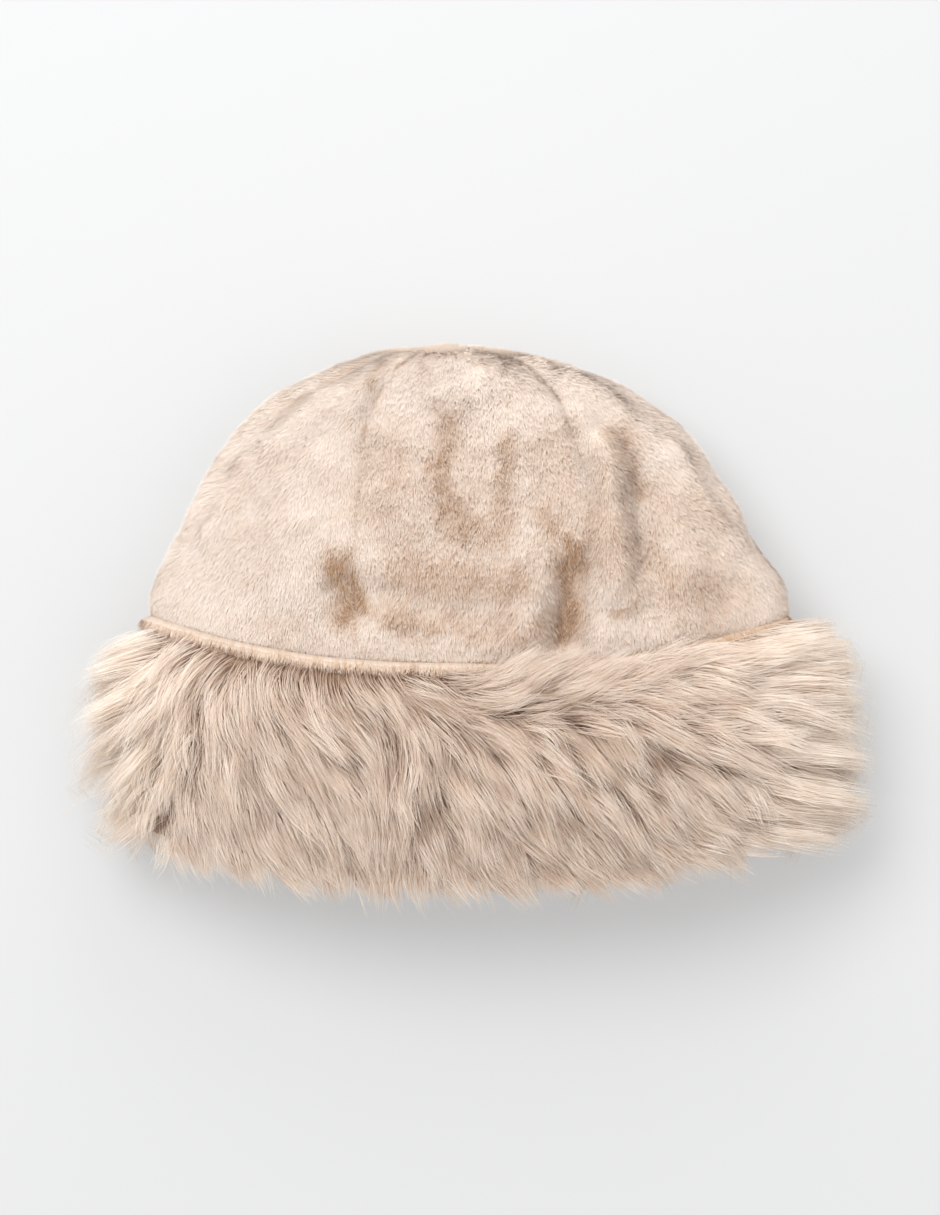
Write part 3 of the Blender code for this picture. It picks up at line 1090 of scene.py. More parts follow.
@dataclass
class Gore:
    """One gore of the crown, its wall and its pile.

    Attributes:
        name: the piece's name.
        node: the solid that it stands for.
        first_seam: the column and the side of its first seam.
        last_seam: the column and the side of its last seam.
        density: blades of pile for each square metre.
        seed: seed of the pile.
        rows: runs of its grid from hem to tip.
        columns: runs of its grid from seam to seam.
        pile_length: length of a blade.
        pile_width: width of a blade at its root.
        lump: size of the tufts in which the blades lean together.
        curl: how far the tufts lean apart.
        crease: half height of the painted shade in the crease along the hem.
        seam_line: half width of the painted shade along a seam.
        gap: clearance along a seam.
        bed: how far the wall lies under the solid's surface, so that the pile ends about there.
        tip_reach: length of the blades at the crown's tip, as a share.
    """

    name: str
    node: str
    first_seam: tuple[str, Side]
    last_seam: tuple[str, Side]
    density: float
    seed: int
    rows: int = 72
    columns: int = 44
    pile_length: float = 0.0036
    pile_width: float = 0.00055
    lump: float = 0.0026
    curl: float = 0.6
    crease: float = 0.0012
    seam_line: float = 0.0009
    gap: float = 0.00006
    bed: float = 0.0012
    tip_reach: float = 0.5

    def strips(self, form: HatForm) -> tuple[np.ndarray, list[np.ndarray]]:
        """Works out the gore's bare form from the hem up, with a last row that closes the tip.

        Args:
            form: the hat's sizes.

        Returns:
            The rows' positions, and grids of points, normals, distances to a seam, grooves and the painted
            shade along the seams.
        """
        parts: dict[str, list[np.ndarray]] = {"bare": [], "normal": [], "edge": [], "groove": [], "line": []}
        spacing = 0.5 - 0.5 * np.cos(np.linspace(0, math.pi, self.columns + 1))
        spacing = 0.6 * spacing + 0.4 * np.linspace(0, 1, self.columns + 1)
        positions = np.linspace(0.0, 0.997, self.rows + 1)
        for position in positions:
            row = CrownSection(*smooth_row(CROWN_SECTIONS, position))
            girth = form.girth(row)
            half_gap = self.gap / 2 / girth
            start = self.first_seam[1].value * getattr(row, self.first_seam[0]) + half_gap
            end = self.last_seam[1].value * getattr(row, self.last_seam[0]) - half_gap
            end += 1.0 if end < start else 0.0
            shares = start + (end - start) * spacing
            soft = min(form.seam_softness, 0.30 * (end - start) * girth)
            grooves, lines = [], []
            for seam, away in ((self.first_seam[0], shares - start), (self.last_seam[0], end - shares)):
                grooves.append(SEAM_SHARPNESS[seam] * np.clip(1 - away * girth / soft, 0.0, 1.0))
                # Painted shade along the seam.
                lines.append(SEAM_LINE_SHADE.get(seam, 0.0) * np.exp(-((away * girth / self.seam_line) ** 2)))
            fading = float(ramp(position, 0.92, -0.22))
            parts["bare"].append(form.crown_row(position, shares))
            parts["normal"].append(form.crown_normals(position, shares))
            parts["edge"].append(np.minimum(shares - start, end - shares) * girth)
            parts["groove"].append(fading * np.maximum(*grooves))
            parts["line"].append(min(1.0, 2 * fading) * np.maximum(*lines))
        middle, closing = form.tip(), 0.05
        parts["bare"].append(middle + closing * (parts["bare"][-1] - middle))
        parts["normal"].append(unit(0.4 * parts["normal"][-1] + np.array([0.0, 1.0, 0.0])))
        parts["edge"].append(closing * parts["edge"][-1])
        parts["groove"].append(parts["groove"][-1])
        parts["line"].append(np.zeros_like(parts["line"][-1]))
        return np.append(positions, 1.0), [np.array(part) for part in parts.values()]

    def grids(self, form: HatForm) -> dict[str, np.ndarray]:
        """Works out the gore's surface and how its pile lies.

        Args:
            form: the hat's sizes.

        Returns:
            Grids of its outer and inner points, normals, the pile's direction, crushed patches with painted
            shade, the blades' length, how thick they stand and how pale they are as painted light.
        """
        positions, (bare, normal, edge, groove, line) = self.strips(form)
        folded = bare + normal * (form.folds(bare, normal[..., 2]) + form.swell(bare, normal))[..., None]
        dip = form.seam_depth * groove**2
        lumps = 0.00035 * ripple(bare, 0.011, self.seed) + 0.0007 * ripple(bare, 0.034, self.seed + 1)
        lumps *= np.clip(edge / form.seam_softness, 0.0, 1.0)
        outer = folded + normal * (lumps - dip - self.bed)[..., None]
        thin = np.clip((1.0 - positions) / 0.09, 0.04, 1.0)
        least_wall = 0.0004
        wall = np.maximum(form.plush_wall * thin[:, None], dip - lumps + self.bed + least_wall)
        inner = folded - normal * wall[..., None]
        outer[..., 2] = np.maximum(outer[..., 2], 0.0006)
        inner[..., 2] = np.maximum(inner[..., 2], form.plush_wall)
        near_tip = ramp(positions, 0.84, 0.08)[:, None]
        above_hem = bare[..., 1] - form.hem_line(bare[..., 0])
        reach = 0.40 + 0.60 * np.minimum(1 - 0.8 * groove**1.5, ramp(above_hem, -0.0003, 0.0065)) ** 0.7
        # Painted shade in the crease along the hem and along the seams, broken up a little.
        chart = np.array(HEM_CREASE_SHADE)
        hem_line = np.interp(bare[..., 0], chart[:, 0], chart[:, 1])
        hem_line *= np.exp(-((above_hem / self.crease) ** 2))
        broken = np.clip(0.62 + 0.50 * ripple(bare, 0.016, 33), 0.0, 1.0)
        painted_crease_shade = np.maximum(hem_line, line) * broken * (normal[..., 2] > 0)
        return {
            "outer": outer,
            "inner": inner,
            "normal": unit(np.cross(np.gradient(outer, axis=1), np.gradient(outer, axis=0))),
            "down": -unit(np.gradient(bare, axis=0)) * (1 - 0.8 * near_tip)[..., None],
            # Crushed pile, with painted shade in the hem's crease and along seams, less near the tip.
            "crush": np.maximum(self.crush(bare, normal), painted_crease_shade) * (1 - 0.8 * near_tip),
            "reach": reach * (1 + (self.tip_reach - 1) * near_tip),
            "thick": np.maximum(ramp(normal[..., 2], -0.45, 0.45), 0.20),
            # Painted light: paler near the tip and where the crown turns down at its sides.
            "pale": np.maximum(near_tip, 0.8 * ramp(normal[..., 2], 0.6, -0.6)),
        }

    def crush(self, points: np.ndarray, normal: np.ndarray) -> np.ndarray:
        """Works out how far the pile is crushed, with the painted shade of its folds and dents.

        Args:
            points: places on the gore.
            normal: the normal at each.

        Returns:
            A share for each point, from 0 to 1.
        """
        total = np.zeros(points.shape[:-1])
        wander = points + 0.002 * ripple(points, 0.016, 31)[..., None]
        for stroke in CRUSHED_AND_SHADED:
            total = np.maximum(total, stroke.strength * stroke.nearness(wander))
        mottled = np.clip(total * (0.92 + 0.22 * ripple(points, 0.0055, 32)), 0.0, 1.0)
        return mottled * np.clip(normal[..., 2] * 2, 0.0, 1.0)

    def base(self, form: HatForm) -> bpy.types.Object:
        """Makes the gore's wall with the attributes that its pile grows by.

        Args:
            form: the hat's sizes.

        Returns:
            The wall.
        """
        grids = self.grids(form)
        rows, columns = grids["outer"].shape[:2]
        count = rows * columns
        points = np.concatenate([grids["outer"].reshape(-1, 3), grids["inner"].reshape(-1, 3)]) + form.origin
        faces = grid_faces(rows, columns) + grid_faces(rows, columns, count, flipped=True)
        border = list(range(columns)) + [row * columns + columns - 1 for row in range(1, rows)]
        border += list(range(count - 2, count - columns - 1, -1))
        border += [row * columns for row in range(rows - 2, 0, -1)]
        for corner, following in zip(border, border[1:] + border[:1]):
            faces.append((following, corner, count + corner, count + following))
        wall = add_mesh(self.name, points, faces)
        for name in ("normal", "down"):
            store(wall, name, np.tile(grids[name].reshape(-1, 3), (2, 1)))
        for name in ("crush", "reach", "thick", "pale"):
            store(wall, name, np.tile(grids[name].ravel(), 2))
        store(wall, "grows", np.repeat([1.0, 0.0], count))
        store(wall, "along", np.full(2 * count, 0.85))
        store(wall, "tint", np.full(2 * count, 0.3))
        return wall

    def build(self, form: HatForm, plush: bpy.types.Material, knit: bpy.types.Material) -> bpy.types.Object:
        """Makes the gore, grows its pile and puts it in the solid's place.

        Args:
            form: the hat's sizes.
            plush: the finish of the pile.
            knit: the finish of its inner side.

        Returns:
            The finished piece.
        """
        piece = PileTree(self, plush).apply(self.base(form))
        lay_on_table(piece)
        mesh = piece.data
        mesh.materials.append(knit)
        grows = read_values(mesh.attributes["grows"].data, "value", np.float32)
        vertex = read_values(mesh.loops, "vertex_index")
        slots = read_values(mesh.polygons, "material_index")
        slots[grows[vertex[read_values(mesh.polygons, "loop_start")]] < 0.25] = len(mesh.materials) - 1
        mesh.polygons.foreach_set("material_index", slots)
        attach(piece, "root")
        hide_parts(self.node)
        return piece


def blade_mesh(length: float, width: float) -> bpy.types.Object:
    """One blade of pile: a narrow strip along +Z that faces -Y and ends in a point.

    Args:
        length: its length.
        width: its width at the root.

    Returns:
        A hidden object to make copies of.
    """
    points = np.array([[-width / 2, 0.0, 0.0], [width / 2, 0.0, 0.0], [0.0, 0.0, length]])
    blade = add_mesh("blade", points, [(0, 1, 2)])
    store(blade, "along", np.array([0.15, 0.15, 1.0]))
    store(blade, "grows", np.ones(3))
    return blade


class PileTree:
    """Grows a short combed pile on a gore."""

    def __init__(self, gore: Gore, plush: bpy.types.Material) -> None:
        """Builds the tree.

        Args:
            gore: the gore whose pile it is.
            plush: the pile's finish.
        """
        self.blade = blade_mesh(gore.pile_length, gore.pile_width)
        maker = TreeMaker(gore.name + "_pile")
        density = maker.size("Blades For Each Square Metre", float(gore.density))
        seed = maker.size("Seed", gore.seed)
        lean = maker.size("Lean", 0.42)
        lift = maker.size("Crushed Lift", 0.9)
        lump = maker.size("Lump Size", float(gore.lump))
        curl = maker.size("Curl", float(gore.curl))
        material = maker.size("Material", plush)
        points = maker.add("DistributePointsOnFaces", {
            "Mesh": maker.geometry, "Selection": maker.maths("GREATER_THAN", maker.named("grows"), 0.99),
            "Density": maker.times(density, maker.named("thick")), "Seed": seed,
        })
        normal, down = maker.named("normal", "FLOAT_VECTOR"), maker.named("down", "FLOAT_VECTOR")
        crush = maker.named("crush")
        position = maker.add("InputPosition").outputs[0]
        waves = []
        for size in (1.0, 0.16):
            noise = maker.add("ShaderNodeTexNoise", {
                "Vector": position, "Scale": maker.maths("DIVIDE", size, lump), "Detail": 1.0,
            })
            waves.append(maker.vectors("SUBTRACT", noise.outputs["Color"], (0.5, 0.5, 0.5)))
        jitter = maker.add("FunctionNodeRandomValue", {
            "Seed": 5, 0: (-0.2, -0.2, -0.2), 1: (0.2, 0.2, 0.2),
        }, data_type="FLOAT_VECTOR")
        upward = maker.vectors("SCALE", normal, maker.plus(lean, maker.times(crush, lift)))
        tufts = maker.vectors("SCALE", waves[0], curl)
        way = maker.vectors("NORMALIZE", maker.total(down, upward, tufts, waves[1], jitter.outputs[0]))
        across = maker.vectors("CROSS_PRODUCT", way, normal)
        turn = maker.add(
            "FunctionNodeAxesToRotation", {0: way, 1: across}, primary_axis="Z", secondary_axis="X"
        )
        blade = maker.add("ObjectInfo", {"Object": self.blade})
        copies = maker.add("InstanceOnPoints", {
            "Points": points.outputs["Points"], "Instance": blade.outputs["Geometry"],
            "Rotation": turn.outputs[0],
            "Scale": maker.times(maker.chance(0.65, 1.15, 3), maker.named("reach")),
        })
        kept = maker.keep(copies.outputs[0], "tint", maker.chance(0.0, 1.0, 8), "INSTANCE")
        kept = maker.keep(kept, "crush", maker.times(crush, maker.chance(0.35, 1.65, 9)), "INSTANCE")
        both = maker.add("JoinGeometry")
        maker.tree.links.new(kept, both.inputs[0])
        maker.tree.links.new(maker.geometry, both.inputs[0])
        maker.finish(both.outputs[0], material)
        self.maker = maker

    def apply(self, wall: bpy.types.Object) -> bpy.types.Object:
        """Grows the pile on a wall and clears the blade away.

        Args:
            wall: what the pile grows on.

        Returns:
            The same object with its pile.
        """
        piece = self.maker.apply(wall)
        bpy.data.objects.remove(self.blade, do_unlink=True)
        return piece


@dataclass
class Welt:
    """The narrow plush strip between the crown and the cuff.

    Attributes:
        columns: runs once round the strip.
        bulge: how far it stands out between its two stitched lines.
        covered: share of the bulge that is left where the fur covers it.
        seed: seed of its pile and its unevenness.
    """

    columns: int = 720
    bulge: float = 0.0032
    covered: float = 0.15
    seed: int = 41

    def build(self, form: HatForm, ring: Ring, plush: bpy.types.Material) -> bpy.types.Object:
        """Makes the strip with its pile and puts it in the solid's place.

        Args:
            form: the hat's sizes.
            ring: the cuff's backing, whose line it follows.
            plush: the pile's finish.

        Returns:
            The finished piece.
        """
        shares = np.arange(self.columns) / self.columns - 0.5
        start, end = form.gap, form.welt_height
        nought = np.zeros(self.columns)
        x = ring.place(nought + start, shares, nought)[0][:, 0]
        shown = np.interp(x, (0.0, 0.06), (1.0, self.covered))
        uneven = 1 + 0.10 * ripple(x[:, None] * np.ones(3), 0.014, self.seed)
        rise = form.seam_depth + self.bulge * shown * uneven
        outline = [(start, nought - form.plush_wall)]
        for place in np.linspace(0, 1, 11):
            swell = math.sin(math.pi * place) ** 0.7
            outline.append((start + (end - start) * place, rise * swell - form.seam_depth))
        outline.append((end, nought - form.plush_wall))
        rings, normals, downs = [], [], []
        for along, depth in outline:
            point, normal, across = ring.place(np.full(self.columns, along), shares, depth)
            rings.append(point)
            normals.append(normal)
            downs.append(np.cross(normal, across))
        rings = np.array(rings)
        rows = len(outline)
        strip = add_mesh("welt_strip", rings.reshape(-1, 3) + form.origin, band_faces(rows, self.columns))
        grows = np.zeros((rows, self.columns))
        grows[1:-1] = 1.0
        store(strip, "normal", np.array(normals).reshape(-1, 3))
        store(strip, "down", -np.array(downs).reshape(-1, 3))
        store(strip, "grows", grows.ravel())
        strokes_and_shade = 0.50 + 0.45 * np.random.default_rng(self.seed).uniform(size=self.columns) ** 2.0
        # Painted shade: the strip is darker where the fur covers it.
        strokes_and_shade += 0.40 * (1 - shown)
        # Painted shade in the creases along both stitched edges of the strip.
        chart = np.array(HEM_CREASE_SHADE)
        edges = np.zeros(rows)
        edges[[0, 1, rows - 2, rows - 1]] = 0.9
        painted_crease_shade = edges[:, None] * np.interp(rings[..., 0], chart[:, 0], chart[:, 1])
        store(strip, "crush", np.maximum(strokes_and_shade[None, :] * 0.8, painted_crease_shade).ravel())
        for name, value in (("along", 0.85), ("tint", 0.3), ("reach", 1.0), ("thick", 1.0)):
            store(strip, name, np.full(rows * self.columns, value))
        no_seam = ("", Side.LEFT)
        pile = Gore(
            "welt_pile", "hem_welt", no_seam, no_seam, 5.5e6, self.seed, pile_width=0.0006, lump=0.002,
            curl=0.9,
        )
        piece = PileTree(pile, plush).apply(strip)
        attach(piece, "root")
        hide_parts("hem_welt")
        return piece


@dataclass
class FurCuff:
    """The deep cuff: its backing and its combed hairs.

    Attributes:
        rounds: places for locks once round the ring.
        tiers: places for locks from the hem to the mouth.
        hairs: hairs in each lock.
        length: length of a hair.
        width: width of a hair.
        steps: how many straight runs a hair has.
        seed: seed of the locks.
        cuff_wall: thickness of the backing inwards.
        half_width: half the cuff's width, which its tables take shares of.
        backing_columns: runs once round the backing.
        backing_rows: points from the backing's hem to its mouth on each side.
    """

    rounds: int = 104
    tiers: int = 16
    hairs: int = 53
    length: float = 0.032
    width: float = 0.00027
    steps: int = 4
    seed: int = 12
    cuff_wall: float = 0.0045
    half_width: float = 0.165
    backing_columns: int = 360
    backing_rows: int = 20

    def direction(self, x: np.ndarray, along: np.ndarray, form: HatForm) -> np.ndarray:
        """Reads the combing chart.

        Args:
            x: places across the hat.
            along: distances from the hem.
            form: the hat's sizes.

        Returns:
            The hairs' angle at each place, in radians from straight down.
        """
        chart = np.array(COMBING)
        across = np.clip(x / self.half_width, -1, 1)
        hem, middle, edge = (np.interp(across, chart[:, 0], chart[:, column]) for column in (1, 2, 3))
        place = np.clip(along / form.cuff_height, 0.0, 1.0)
        upper = hem + (middle - hem) * ramp(place, 0.12, 0.30)
        return np.radians(upper + (edge - upper) * ramp(place, 0.45, 0.45))

    def past_rim(self, along: np.ndarray, form: HatForm) -> np.ndarray:
        """Slows a hair down where it bends over the mouth's rim.

        Args:
            along: distances from the hem as the hair runs.
            form: the hat's sizes.

        Returns:
            The distances that it reaches.
        """
        start, room = 0.80 * form.cuff_height, 0.85 * form.cuff_height
        over = np.maximum(along - start, 0.0)
        return np.minimum(along, start) + room * (1 - np.exp(-over / room))

    def envelope(self, along: np.ndarray, normal: np.ndarray, form: HatForm) -> np.ndarray:
        """Reads the fur's depth.

        Args:
            along: distances from the hem.
            normal: which way the backing faces at each.
            form: the hat's sizes.

        Returns:
            A share of the full depth for each place.
        """
        table = np.array(FUR_DEPTHS)
        place = along / form.cuff_height
        top, side = (np.interp(place, table[:, 0], table[:, column]) for column in (1, 2))
        turned = np.clip(1.15 - np.abs(normal[:, 2]) * 1.3, 0.0, 1.0)
        return top + (side - top) * turned

    def base(
        self, form: HatForm, ring: Ring, fur: bpy.types.Material, knit: bpy.types.Material
    ) -> bpy.types.Object:
        """Makes the cuff's backing: the cloth that the hairs grow from.

        Args:
            form: the hat's sizes.
            ring: the backing's surface.
            fur: the finish of its outer side.
            knit: the finish of its inner side.

        Returns:
            The backing.
        """
        columns = self.backing_columns
        shares = np.arange(columns) / columns - 0.5
        start = form.welt_height + form.gap
        down = [start + form.cuff_height * place * 0.985 for place in np.linspace(0, 1, self.backing_rows)]
        back = [start + form.cuff_height * place * 0.985 for place in np.linspace(1, 0, self.backing_rows)]
        outline = [(along, 0.0015) for along in down] + [(along, -self.cuff_wall) for along in back]
        rings = []
        for along, out in outline:
            rings.append(ring.place(np.full(columns, along), shares, np.full(columns, out))[0])
        rows = len(outline)
        points = np.array(rings).reshape(-1, 3) + form.origin
        backing = add_mesh("fur_backing", points, band_faces(rows, columns))
        # The backing's outer side has the hairs' root colour, darkened further by painted shade.
        for name, value in (("crush", 0.3), ("along", 0.15), ("tint", 0.5)):
            store(backing, name, np.full(rows * columns, value))
        backing.data.materials.append(fur)
        backing.data.materials.append(knit)
        slots = np.zeros(rows * columns, dtype=np.int32)
        slots[(self.backing_rows - 1) * columns:] = 1
        backing.data.polygons.foreach_set("material_index", slots)
        return backing

    def roots(self, form: HatForm, ring: Ring, chance: np.random.Generator) -> tuple[np.ndarray, ...]:
        """Scatters the locks' roots over the backing.

        Args:
            form: the hat's sizes.
            ring: the backing's surface.
            chance: what draws the random numbers.

        Returns:
            For each lock its share of the girth, its distance from the hem and whether it covers the welt.
        """
        column, row = np.meshgrid(np.arange(self.rounds), np.arange(self.tiers))
        column, row = column.ravel().astype(float), row.ravel().astype(float)
        share = (column + 0.5 * (row % 2) + chance.uniform(-0.45, 0.45, column.size)) / self.rounds - 0.5
        place = (row + chance.uniform(0.05, 0.95, row.size)) / self.tiers
        covers = (share > 0.0) & (share < 0.27)
        place = np.where(covers, place**1.35, place)
        along = form.welt_height + 0.001 + place * form.cuff_height * 0.97
        _, normal, _ = ring.place(along, share, np.zeros_like(along))
        under = normal[:, 2] < -0.55
        kept = ~under | (chance.uniform(size=under.size) < 0.25)
        return share[kept], along[kept], covers[kept]

    def shading(
        self, here: np.ndarray, normal: np.ndarray, along: np.ndarray, form: HatForm
    ) -> list[np.ndarray]:
        """Reads the fur's painted shade and how far it is parted.

        Args:
            here: places on the backing.
            normal: the normal at each.
            along: its distance from the hem.
            form: the hat's sizes.

        Returns:
            The painted shade and the parting at each place, from 0 to 1.
        """
        parted = np.zeros(len(here))
        for stroke in PARTED:
            weight = stroke.strength * stroke.nearness(here)
            parted = np.maximum(parted, weight * (here[:, 2] > 0.04))
        # Painted shade: paler towards the cuff's ends, where the backing turns down and near the hem.
        shade_chart = np.array(FUR_PAINTED_SHADE)
        dusk = np.interp(here[:, 0] / self.half_width, shade_chart[:, 0], shade_chart[:, 1])
        dusk *= np.clip(normal[:, 2] + 0.6, 0.3, 1.0)
        dusk *= np.clip(0.6 + 1.4 * along / form.cuff_height, 0.6, 1.0)
        return [dusk, parted]

    def locks(self, form: HatForm, ring: Ring) -> dict[str, np.ndarray]:
        """Traces the middle line of every lock through the combed fur.

        Args:
            form: the hat's sizes.
            ring: the backing's surface.

        Returns:
            For each lock its points, outward and sideways directions, its root, its random shade, its painted
            shade across the cuff and how far it is darkened by painted shade where it is parted and under the
            upper hairs.
        """
        chance = np.random.default_rng(self.seed)
        share, along, covers = self.roots(form, ring, chance)
        count = share.size
        girth = float(np.mean(ring.girths))
        layer = 0.55 + 0.45 * chance.uniform(size=count) ** 0.6
        near_hem = np.maximum(ramp(along, form.welt_height, 0.12 * form.cuff_height), covers)
        reach = self.length * chance.uniform(0.8, 1.12, count) * (0.75 + 0.25 * near_hem)
        x = ring.place(along, share, np.zeros_like(along))[0][:, 0]
        near_rim = ramp(along / form.cuff_height, 0.5, 0.3)
        reach *= 1 + near_rim * np.interp(x, LONGER_PLACES, LONGER_SHARES)
        sway = chance.normal(0, math.radians(9), count)
        curl = chance.normal(0, math.radians(9), count)
        points, outward, sideways, opened_and_shade = [], [], [], []
        for step in range(self.steps + 1):
            t = step / self.steps
            shown = self.past_rim(along, form)
            here, normal, _ = ring.place(shown, share, np.zeros_like(along))
            fullness = np.interp(here[:, 0] / self.half_width, FULLNESS_PLACES, SIDE_FULLNESS)
            depth = self.envelope(shown, normal, form) * fullness * form.fur_depth
            dusk, parted = self.shading(here, normal, along, form)
            # Painted shade: the lower hairs and the partings are darker.
            opened_and_shade.append(np.clip(1.45 * (1 - layer) * dusk + 0.9 * parted, 0.0, 1.0))
            out = layer * depth * (1 - (1 - t) ** 2.3) * (1 - 0.5 * parted)
            point, normal, across = ring.place(shown, share, out)
            facing = ramp(normal[:, 2], -0.55, 0.9)
            angle = self.direction(here[:, 0], along, form) * facing + sway + curl * (t - 0.5) * 2
            point[:, 2] = np.maximum(point[:, 2], 0.0006 + 0.0025 * (1 - layer) * t)
            points.append(point)
            outward.append(normal)
            flow = np.cos(angle)[:, None] * np.array([0.0, -1.0, 0.0]) + np.sin(angle)[:, None] * across
            sideways.append(unit(np.cross(flow, normal)))
            run = reach / self.steps * (0.55 + 0.75 * t)
            share = share + np.sin(angle) * run / (girth + 2 * math.pi * out)
            along = along + np.cos(angle) * run
        traced = {"points": points, "outward": outward, "sideways": sideways}
        found = {name: np.array(steps).transpose(1, 0, 2) for name, steps in traced.items()}
        shade = chance.uniform(0, 1, count)
        return {**found, "root": points[0], "shade": shade, "dusk": dusk, "opened_and_shade": np.array(opened_and_shade).T}

    def grow(
        self, name: str, locks: dict[str, np.ndarray], chosen: np.ndarray, form: HatForm,
        fur: bpy.types.Material,
    ) -> bpy.types.Object:
        """Grows the hairs of some of the locks as one piece.

        Args:
            name: the piece's name.
            locks: what locks() returned.
            chosen: which locks to use.
            form: the hat's sizes.
            fur: the hairs' finish.

        Returns:
            The piece.
        """
        points = locks["points"][chosen] + form.origin
        count, steps = points.shape[:2]
        first = np.arange(count)[:, None] * steps + np.arange(steps - 1)[None, :]
        edges = np.stack([first, first + 1], axis=-1).reshape(-1, 2)
        guide = add_mesh(name, points.reshape(-1, 3), [], edges.tolist())
        store(guide, "outward", locks["outward"][chosen].reshape(-1, 3))
        store(guide, "sideways", locks["sideways"][chosen].reshape(-1, 3))
        store(guide, "root", np.repeat(locks["root"][chosen] + form.origin, steps, axis=0))
        for key in ("shade", "dusk"):
            store(guide, key, np.repeat(locks[key][chosen], steps))
        store(guide, "crush", locks["opened_and_shade"][chosen].ravel())
        return HairTree(self, name, fur).maker.apply(guide)

    def build(
        self, form: HatForm, ring: Ring, fur: bpy.types.Material, knit: bpy.types.Material
    ) -> list[bpy.types.Object]:
        """Makes the backing and the hairs and puts them in the solid's place.

        Args:
            form: the hat's sizes.
            ring: the backing's surface.
            fur: the hairs' finish.
            knit: the finish of the inner side.

        Returns:
            The finished pieces.
        """
        pieces = [self.base(form, ring, fur, knit)]
        locks = self.locks(form, ring)
        x, height = locks["root"][:, 0], locks["root"][:, 2]
        upper, third = height > 0.03, 0.045
        zones = {
            "fur_upper_left": upper & (x < -third),
            "fur_upper_middle": upper & (np.abs(x) <= third),
            "fur_upper_right": upper & (x > third),
            "fur_lower": ~upper,
        }
        for name, chosen in zones.items():
            pieces.append(self.grow(name, locks, chosen, form, fur))
        for piece in pieces:
            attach(piece, "root")
            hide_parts("fur_cuff")
        return pieces


class HairTree:
    """Turns each lock's middle line into a sheaf of tapering hairs."""

    def __init__(self, cuff: FurCuff, name: str, fur: bpy.types.Material) -> None:
        """Builds the tree.

        Args:
            cuff: the cuff's sizes.
            name: the piece's name.
            fur: the hairs' finish.
        """
        self.maker = maker = TreeMaker(name + "_hair")
        times, plus, maths, vectors = maker.times, maker.plus, maker.maths, maker.vectors
        hairs = maker.size("Hairs In A Lock", cuff.hairs)
        root_spread = maker.size("Root Spread", 0.0050)
        tip_spread = maker.size("Tip Spread", 0.0024)
        width = maker.size("Hair Width", float(cuff.width))
        frizz = maker.size("Frizz", 0.0006)
        material = maker.size("Material", fur)
        lines = maker.add("MeshToCurve", {"Mesh": maker.geometry})
        copies = {"Geometry": lines.outputs[0], "Amount": hairs}
        many = maker.add("DuplicateElements", copies, domain="SPLINE")
        t = maker.add("SplineParameter").outputs["Factor"]
        number = maker.add("InputIndex").outputs[0]

        def each(low: float, high: float, seed: int) -> bpy.types.NodeSocket:
            """A random number that is the same all along a hair."""
            value = maker.chance(low, high, seed, number)
            return maker.add("FieldOnDomain", {0: value}, domain="CURVE", data_type="FLOAT").outputs[0]

        sideways, outward = maker.named("sideways", "FLOAT_VECTOR"), maker.named("outward", "FLOAT_VECTOR")
        root = maker.named("root", "FLOAT_VECTOR")
        position = maker.add("InputPosition").outputs[0]
        flow = vectors("CROSS_PRODUCT", outward, sideways)
        stray = maths("POWER", each(0.0, 1.0, 21), 6.0)
        spread = plus(root_spread, times(t, maths("SUBTRACT", tip_spread, root_spread)))
        spread = plus(spread, times(times(stray, 0.006), t))
        kept_length = maths("SUBTRACT", 1.0, each(0.0, 0.34, 22))
        shorter = vectors("SCALE", vectors("SUBTRACT", position, root), kept_length)
        aside = times(each(-1.0, 1.0, 23), spread)
        out = times(each(-1.0, 1.0, 24), times(spread, 0.55))
        back = times(each(-1.0, 1.0, 25), root_spread)
        turn = plus(times(t, 4.5), each(0.0, 6.28, 26))
        curl = times(times(maths("SINE", turn), frizz), t)
        placed = maker.total(
            root, shorter, vectors("SCALE", sideways, plus(aside, curl)),
            vectors("SCALE", outward, times(out, t)), vectors("SCALE", flow, back),
        )
        x, y, z = maker.add("ShaderNodeSeparateXYZ", {0: placed}).outputs
        height = maths("MAXIMUM", z, 0.0004)
        placed = maker.add("ShaderNodeCombineXYZ", {0: x, 1: y, 2: height}).outputs[0]
        moved = maker.add("SetPosition", {"Geometry": many.outputs["Geometry"], "Position": placed})
        # The painted shade scales each hair's tint and makes the hairs paler where it is low.
        dusk = maker.named("dusk")
        mixed = plus(times(each(0.0, 1.0, 27), 0.6), times(maker.named("shade"), 0.4))
        kept = maker.keep(moved.outputs[0], "tint", times(mixed, dusk), "POINT")
        paler = times(maths("SUBTRACT", 1.0, dusk), 0.40)
        kept = maker.keep(kept, "along", plus(t, paler), "POINT")
        facing = vectors("CROSS_PRODUCT", sideways, maker.add("InputTangent").outputs[0])
        turned = maker.add("SetCurveNormal", {"Curve": kept}, mode="FREE")
        maker.feed(turned.inputs["Normal"], facing)
        profile = maker.add("CurvePrimitiveLine", {"Start": (0.0, -0.5, 0.0), "End": (0.0, 0.5, 0.0)})
        thin = maths("SUBTRACT", 1.0, times(maths("POWER", t, 2.0), 0.85))
        ribbon = maker.add("CurveToMesh", {
            "Curve": turned.outputs[0], "Profile Curve": profile.outputs[0], "Scale": times(thin, width),
        })
        maker.finish(ribbon.outputs[0], material)


